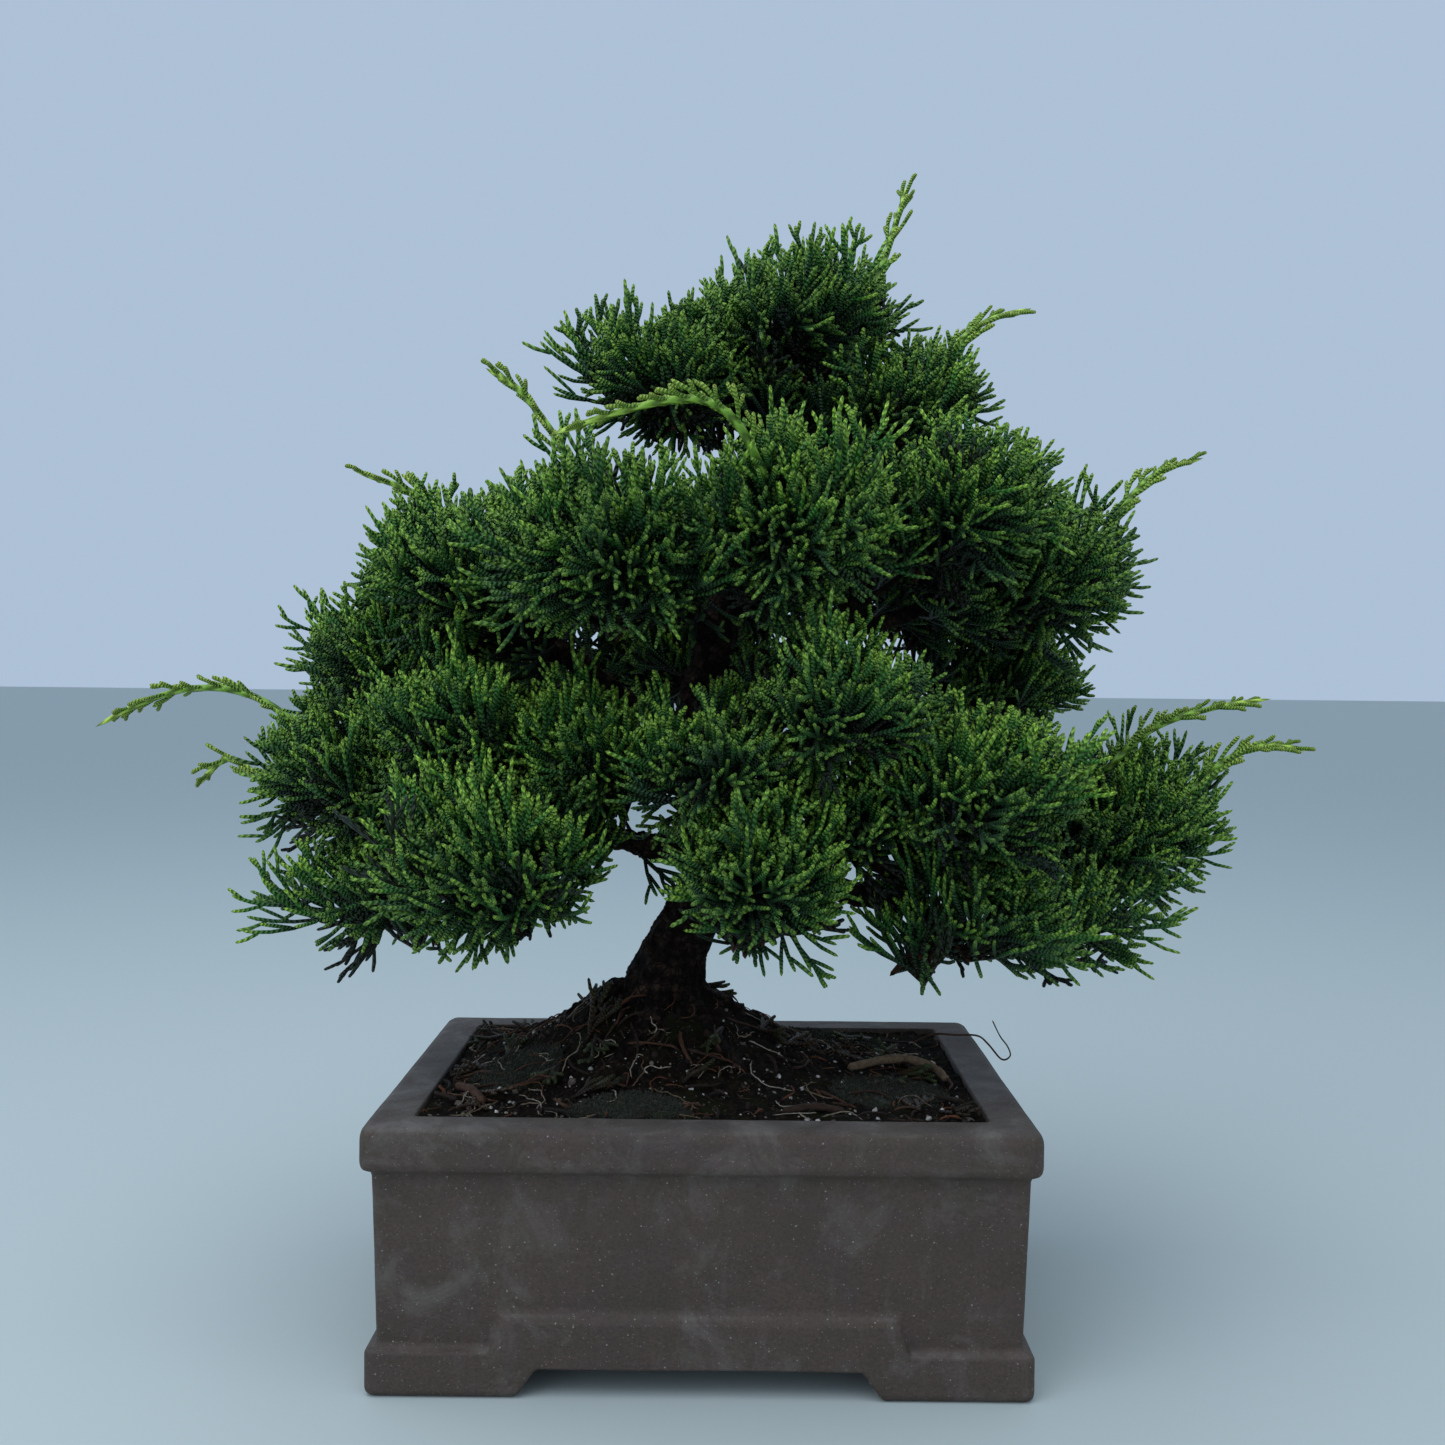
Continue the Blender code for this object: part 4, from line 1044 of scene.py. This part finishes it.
def make_sprigs(rng, material):
    """Green sprigs that have dropped on the soil."""
    count = SPRIGS
    x, y = scattered(rng, count, 10 * MM)
    heading = rng.uniform(0, 2 * np.pi, count)
    length = rng.uniform(8, 17, count) * MM
    start = np.stack([x, y, soil_height(x, y) + 1.6 * MM], axis=1)
    way = np.stack([np.cos(heading), np.sin(heading), 0 * heading], axis=1)
    end = start + way * length[:, None]
    end[:, 0] = np.clip(end[:, 0], SOIL_LOW[0] + 4 * MM, SOIL_HIGH[0] - 4 * MM)
    end[:, 1] = np.clip(end[:, 1], SOIL_LOW[1] + 4 * MM, SOIL_HIGH[1] - 4 * MM)
    end[:, 2] = soil_height(end[:, 0], end[:, 1]) + 1.8 * MM
    middle = (start + end) / 2 + rng.normal(0, 1, start.shape) * [MM, MM, 0] + 1.5 * MM * UP
    vigour = rng.uniform(0.05, 0.5, count)
    ripe = rng.choice([0.35, 0.7, 0.9], count)
    bundle = sprays((start, middle, end), np.tile(UP, (count, 1)), vigour, ripe, rng, branches=4)
    build_piece("dropped_sprigs", joined(bundle), material, "scale_leaves", "soil")


def make_moss(node, rng, material):
    """A cushion of moss: a knobbly skin, and tufts standing in it."""
    centre, half = middle_and_half(node)
    rings, sides = 34, 88
    bundle = []
    radius = np.linspace(0, 1, rings)[:, None]
    angle = np.linspace(0, 2 * np.pi, sides, endpoint=False)[None]
    x = centre[0] + half[0] * radius * np.cos(angle)
    y = centre[1] + half[1] * radius * np.sin(angle)
    plan = np.stack([x.ravel(), y.ravel(), 0 * x.ravel()], axis=1)
    knobs = (1.0 * grain(plan, 5 * MM) + 0.7 * grain(plan, 2 * MM, 5.0)).reshape(x.shape)
    dome = (2.4 * np.sqrt(np.maximum(1 - radius**2, 0)) + knobs * (1 - radius**6) - 1.0 * radius**4) * MM
    top = np.stack([x, y, soil_height(x, y) + dome], axis=-1)[1:].reshape(-1, 3)
    peak = np.array([[centre[0], centre[1], soil_height(centre[0], centre[1]) + dome[0, 0]]])
    base = np.array([[centre[0], centre[1], soil_height(centre[0], centre[1]) - 2 * MM]])
    index = np.arange((rings - 1) * sides).reshape(rings - 1, sides)
    ahead = np.roll(index, -1, axis=1)
    quads = np.stack([index[:-1], index[1:], ahead[1:], ahead[:-1]], axis=-1).reshape(-1, 4)
    crown = np.stack([np.full(sides, len(top)), index[0], ahead[0]], axis=1)
    under = np.stack([np.full(sides, len(top) + 1), ahead[-1], index[-1]], axis=1)
    corners = np.concatenate([quads.ravel(), crown.ravel(), under.ravel()])
    sizes = np.concatenate([np.full(len(quads), 4), np.full(2 * sides, 3)])
    cushion = {"points": np.concatenate([top, peak, base]), "corners": corners, "sizes": sizes}

    tufts = MOSS_TUFTS
    out = np.sqrt(rng.random(tufts))
    turn = rng.uniform(0, 2 * np.pi, tufts)
    nearest = np.clip((out * (rings - 1)).astype(int), 1, rings - 1) - 1
    side = (turn / (2 * np.pi) * sides).astype(int) % sides
    foot = top[index[nearest, side]] - 0.3 * MM * UP
    lean = rng.normal(0, 0.35, (tufts, 3)) + UP
    head = foot + unit(lean) * rng.uniform(0.9, 2.0, (tufts, 1)) * MM
    paths = foot[:, None] + (head - foot)[:, None] * np.array([0, 0.35, 0.8, 1.0])[None, :, None]
    radii = rng.uniform(0.16, 0.3, (tufts, 1)) * MM * np.array([1.0, 0.7])
    tuft = cords(paths, radii, np.tile(np.linspace(0, 1, 4), (tufts, 1)), rng.random(tufts), 4)
    bundle = [cushion, {key: tuft[key] for key in cushion}]
    build_piece(f"cushion_{node}", joined(bundle), material, "moss", node)


# ---- twigs and roots on the soil ----

# Corner of the pot, points with their distances from its two walls and heights above the soil, radius: mm.
TWIGS = {
    "arched_twig": ((1, -1), [(38, 57, 0.5), (28, 59, 3.5), (17, 60, 5), (9, 57, 3), (5, 50, 0.5)], 1.4),
    "fallen_twig_left": ((-1, -1), [(6, 35, 0.5), (12, 27, 1.5), (18, 17, 0.5)], 1.4),
    "fallen_twig_front": ((1, -1), [(62, 11, 0.5), (52, 15, 1), (42, 14, 0.5)], 1.2),
}

# Distances from the pot's right side, its middle and its top: mm.
CURLED_ROOT = [
    (-24, 47, -2.2),
    (-16, 46, 1.5),
    (-8, 45, 1.6),
    (0, 45, 1.4),
    (4, 45, -1.5),
    (9, 44, -7),
    (12, 43, -5.5),
    (11, 43, -2),
    (8, 42, 2),
    (5, 42, 8),
]
CURLED_ROOT_RADIUS = 0.42


def knotty(route, radius, seed):
    """Radii along a route that swell and pinch as a dry twig's do."""
    inner = route[1:-1]
    return (radius * (1 + 0.22 * grain(inner, 3.5 * MM, seed)))[None]


def make_twigs(bark):
    for number, (node, (corner, points, radius)) in enumerate(TWIGS.items()):
        placed = []
        for from_side, from_front, height in points:
            x = corner[0] * (SOIL_HIGH[0] - from_side * MM)
            y = corner[1] * (SOIL_HIGH[1] - from_front * MM)
            placed.append((x, y, soil_height(x, y) + (radius + height) * MM))
        route = smooth_route(placed, 8)
        route = route + 0.35 * MM * np.stack([grain(route, 6 * MM, s + number) for s in (1, 2, 3)], axis=1)
        radii = knotty(route, radius * MM, number)
        ages = np.linspace(0, 1, len(route))[None]
        arrays = cords(route[None], radii, ages, np.array([0.76 - 0.2 * number]), 10)
        build_piece(f"dry_{node}", arrays, bark, "dead_wood", node)
    placed = [(POT_HIGH[0] + x * MM, y * MM, POT_HIGH[2] + z * MM) for x, y, z in CURLED_ROOT]
    route = smooth_route(placed, 8)
    taper = np.linspace(1.0, 0.55, len(route) - 2)
    radii = knotty(route, CURLED_ROOT_RADIUS * MM, 9.0) * taper
    arrays = cords(route[None], radii, np.linspace(0, 1, len(route))[None], np.array([0.5]), 8)
    build_piece("dry_curled_root", arrays, bark, "dead_wood", "curled_root")


# ---- wood ----


def make_wood(material):
    """Trunk, limbs and surface roots with their peeling bark."""
    mesh = remeshed("tree_wood", 0.75 * MM, 4)
    points = vectors_of(mesh.vertices, "co")
    from_axis = np.linalg.norm(points[:, :2] - np.array(MOUND_CENTRE), axis=1)
    thick = np.clip(1.3 - from_axis / (90 * MM), 0.25, 1)
    stretched = points * [1, 1, 0.45]
    plates = 1 - np.abs(grain(stretched, 4.5 * MM))
    fibres = grain(stretched * [1, 1, 0.6], 1.8 * MM, 4.0)
    swell = grain(points, 22 * MM, 2.0)
    push(mesh, thick * MM * (1.5 * plates**3 - 0.5 + 0.45 * fibres + 0.9 * swell))
    place_piece("bark_trunk_and_limbs", mesh, material, "bark", "tree_wood")
    return vectors_of(mesh.vertices, "co"), vectors_of(mesh.vertices, "normal")


def make_fine_twigs(joints, rng, material):
    """The twigs that carry each pad's sprays, from its limb to its hubs."""
    bundle = []
    for joint, hubs in joints:
        middle = (joint + hubs) / 2 + rng.normal(0, 1.6 * MM, hubs.shape)
        curves = (np.broadcast_to(joint, hubs.shape), middle, hubs + 1.5 * MM * unit(hubs - joint))
        radius = rng.uniform(0.9, 1.3, len(hubs)) * MM
        ones = np.ones(len(hubs))
        bundle.append(growth(curves, radius, (0 * ones, ones), rng.random(len(hubs))))
    build_piece("bark_fine_twigs", joined(bundle), material, "bark", "tree_wood")


# ---- pot ----


def make_pot(material):
    """The pot's skin: its clay stands a little uneven, as pressed walls do."""
    mesh = remeshed("pot", 1.0 * MM, 1)
    points = vectors_of(mesh.vertices, "co")
    wobble = 0.22 * grain(points, 38 * MM) + 0.05 * grain(points, 6 * MM, 3.0)
    push(mesh, (wobble + 0.1) * MM)
    place_piece("pot_body", mesh, material, "stoneware", "pot")


# ---- studio ----


def make_studio():
    """A pale floor and sky, with soft daylight from above and from both sides."""
    bpy.context.scene.view_settings.view_transform = "Standard"
    floor_mesh = bpy.data.meshes.new("studio_floor")
    corners = [(FLOOR_REACH * x, FLOOR_REACH * y, 0) for x, y in ((-1, -1), (1, -1), (1, 1), (-1, 1))]
    floor_mesh.from_pydata(corners, [], [(0, 1, 2, 3)])
    floor_mesh.materials.append(paint_material("studio_floor_paint", "#BBC5C1", 0.7))
    floor = bpy.data.objects.new("studio_floor", floor_mesh)
    bpy.context.scene.collection.objects.link(floor)

    world = bpy.data.worlds.new("studio_world")
    bpy.context.scene.world = world
    world.use_nodes = True
    sky = world.node_tree.nodes["Background"]
    sky.inputs["Color"].default_value = linear("#B4C8DF")
    sky.inputs["Strength"].default_value = SKY_STRENGTH

    for name, place, turn, size, power, colour in (
        ("window_above", (-0.25, -0.35, 1.25), (18, -12, 0), 1.4, 10, "#F2F6FF"),
        ("window_front_left", (-1.0, -1.1, 0.75), (62, 0, -42), 1.2, 5, "#E6EEFF"),
        ("window_right", (1.3, -0.5, 0.6), (70, 0, 68), 1.0, 1.5, "#FFF8F0"),
    ):
        light = bpy.data.lights.new(name, "AREA")
        light.shape = "SQUARE"
        light.size = size
        light.energy = power
        light.color = linear(colour)[:3]
        lamp = bpy.data.objects.new(name, light)
        lamp.location = place
        lamp.rotation_euler = [math.radians(a) for a in turn]
        bpy.context.scene.collection.objects.link(lamp)


def make_camera():
    """Level with the middle of the tree, half a metre in front of it.

    Its frame is lowered to take in the pot's feet.
    """
    lens = bpy.data.cameras.new("camera")
    lens.lens = LENS_LENGTH
    lens.sensor_width = SENSOR_WIDTH
    lens.shift_y = FRAME_SHIFT
    lens.clip_start = 0.02
    camera = bpy.data.objects.new("camera", lens)
    camera.location = CAMERA_PLACE
    level = Euler((math.radians(90), 0, 0)).to_matrix()
    roll = Euler((0, 0, CAMERA_ROLL)).to_matrix()
    camera.rotation_euler = (level @ roll).to_euler()
    bpy.context.scene.collection.objects.link(camera)
    bpy.context.scene.camera = camera


# Long shoots, from inside a pad to their tips: millimetres from the tree's foot.
SHOOTS = {
    "leader_shoot": [(50, 2, 228), (59, 2, 252), (63, 2, 265), (67, 2, 278)],
    "left_long_shoot": [(-138, 10, 86), (-158, 9, 99), (-177, 8, 102), (-196, 8, 97), (-213, 8, 88)],
    "left_lower_shoot": [(-136, 0, 62), (-152, 0, 71), (-164, 0, 78), (-175, 0, 68)],
    "left_upper_shoot": [(-38, -45, 166), (-49, -41, 183), (-60, -40, 197), (-71, -40, 204)],
    "left_high_shoot": [(-84, -16, 158), (-99, -15, 168), (-119, -15, 175)],
    "right_high_shoot": [(72, 5, 202), (83, 5, 221), (94, 5, 231), (110, 5, 236)],
    "right_mid_shoot": [(130, 5, 152), (145, 5, 171), (155, 5, 180), (170, 5, 185)],
    "right_upper_shoot": [(142, 29, 74), (159, 28, 90), (180, 27, 98), (202, 26, 102)],
    "right_long_shoot": [(168, 24, 64), (183, 21, 79), (196, 18, 85), (213, 15, 84)],
    "front_bright_shoot": [(17, -78, 164), (7, -90, 180), (-5, -93, 185), (-25, -93, 181), (-45, -93, 174)],
}


def main():
    make_camera()
    make_studio()

    # Each leaf material takes a shaded ramp, painted shade, and a sunlit ramp, painted sunlight.
    pad_leaves = scale_leaf_material(
        "scale_leaves",
        [(0.0, "#2C2118"), (0.25, "#1F2415"), (0.5, "#11291B"), (0.82, "#244A2C"), (1.0, "#527E38")],
        [(0.0, "#33271A"), (0.25, "#233216"), (0.5, "#18411A"), (0.82, "#42852A"), (1.0, "#AAD648")],
    )
    shoot_leaves = scale_leaf_material(
        "young_scale_leaves",
        [(0.0, "#33421A"), (0.4, "#3D6B24"), (0.8, "#6B9C34"), (1.0, "#9AC044")],
        [(0.0, "#44601F"), (0.4, "#6A9632"), (0.8, "#92BC44"), (1.0, "#C0DA5C")],
    )
    shed_leaves = scale_leaf_material(
        "shed_scale_leaves",
        [(0.0, "#2B1C12"), (0.4, "#3A2C18"), (0.8, "#3E4322"), (1.0, "#57632F")],
        [(0.0, "#3A2416"), (0.4, "#54401F"), (0.8, "#4B5A2A"), (1.0, "#76863C")],
    )
    old_bark = bark_material("peeling_juniper_bark", "#080605", "#1D1510", "#43342A", "#7A6553")
    young_bark = bark_material("young_juniper_bark", "#1C120C", "#3A251A", "#5A3C2B", "#7A5A45")
    stoneware = stoneware_material()
    earth = soil_material()
    crumbs = tinted_material(
        "soil_crumb_grit",
        [(0.0, "#0D0A08"), (0.5, "#1C1510"), (0.8, "#3A2B1E"), (0.9, "#8C8375"), (0.97, "#DAD6CE")],
        0.92, 0.8 * MM, 0.3 * MM,
    )
    dead_twig = tinted_material(
        "dry_twig_bark",
        [
            (0.0, "#15100B"), (0.3, "#2C1F16"), (0.55, "#4E3526"),
            (0.66, "#62381F"), (0.8, "#75654F"), (1.0, "#B5AA98"),
        ],
        0.88, 1.2 * MM, 0.5 * MM,
    )
    moss = moss_material()

    for node in ("drain_screen_left", "drain_screen_right"):
        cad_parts[node].data.materials.clear()
        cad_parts[node].data.materials.append(screen_material())

    make_pot(stoneware)
    make_soil(earth)
    rng = np.random.default_rng(11)
    make_crumbs(rng, crumbs)
    make_litter(rng, dead_twig)
    make_sprigs(rng, shed_leaves)
    for node in ("moss_left", "moss_front", "moss_right", "moss_back"):
        make_moss(node, rng, moss)
    make_twigs(dead_twig)
    wood = make_wood(old_bark)

    pads = sorted(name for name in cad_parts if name.startswith("leaves_"))
    middles = np.array([middle_and_half(node)[0] for node in pads])
    joints = []
    for number, node in enumerate(pads):
        joints.append(grow_pad(node, np.random.default_rng(100 + number), wood, middles, pad_leaves))
    make_fine_twigs(joints, rng, young_bark)
    for number, (name, points) in enumerate(SHOOTS.items()):
        grow_shoot(name, points, np.random.default_rng(500 + number), shoot_leaves)


main()
bpy.context.view_layer.update()
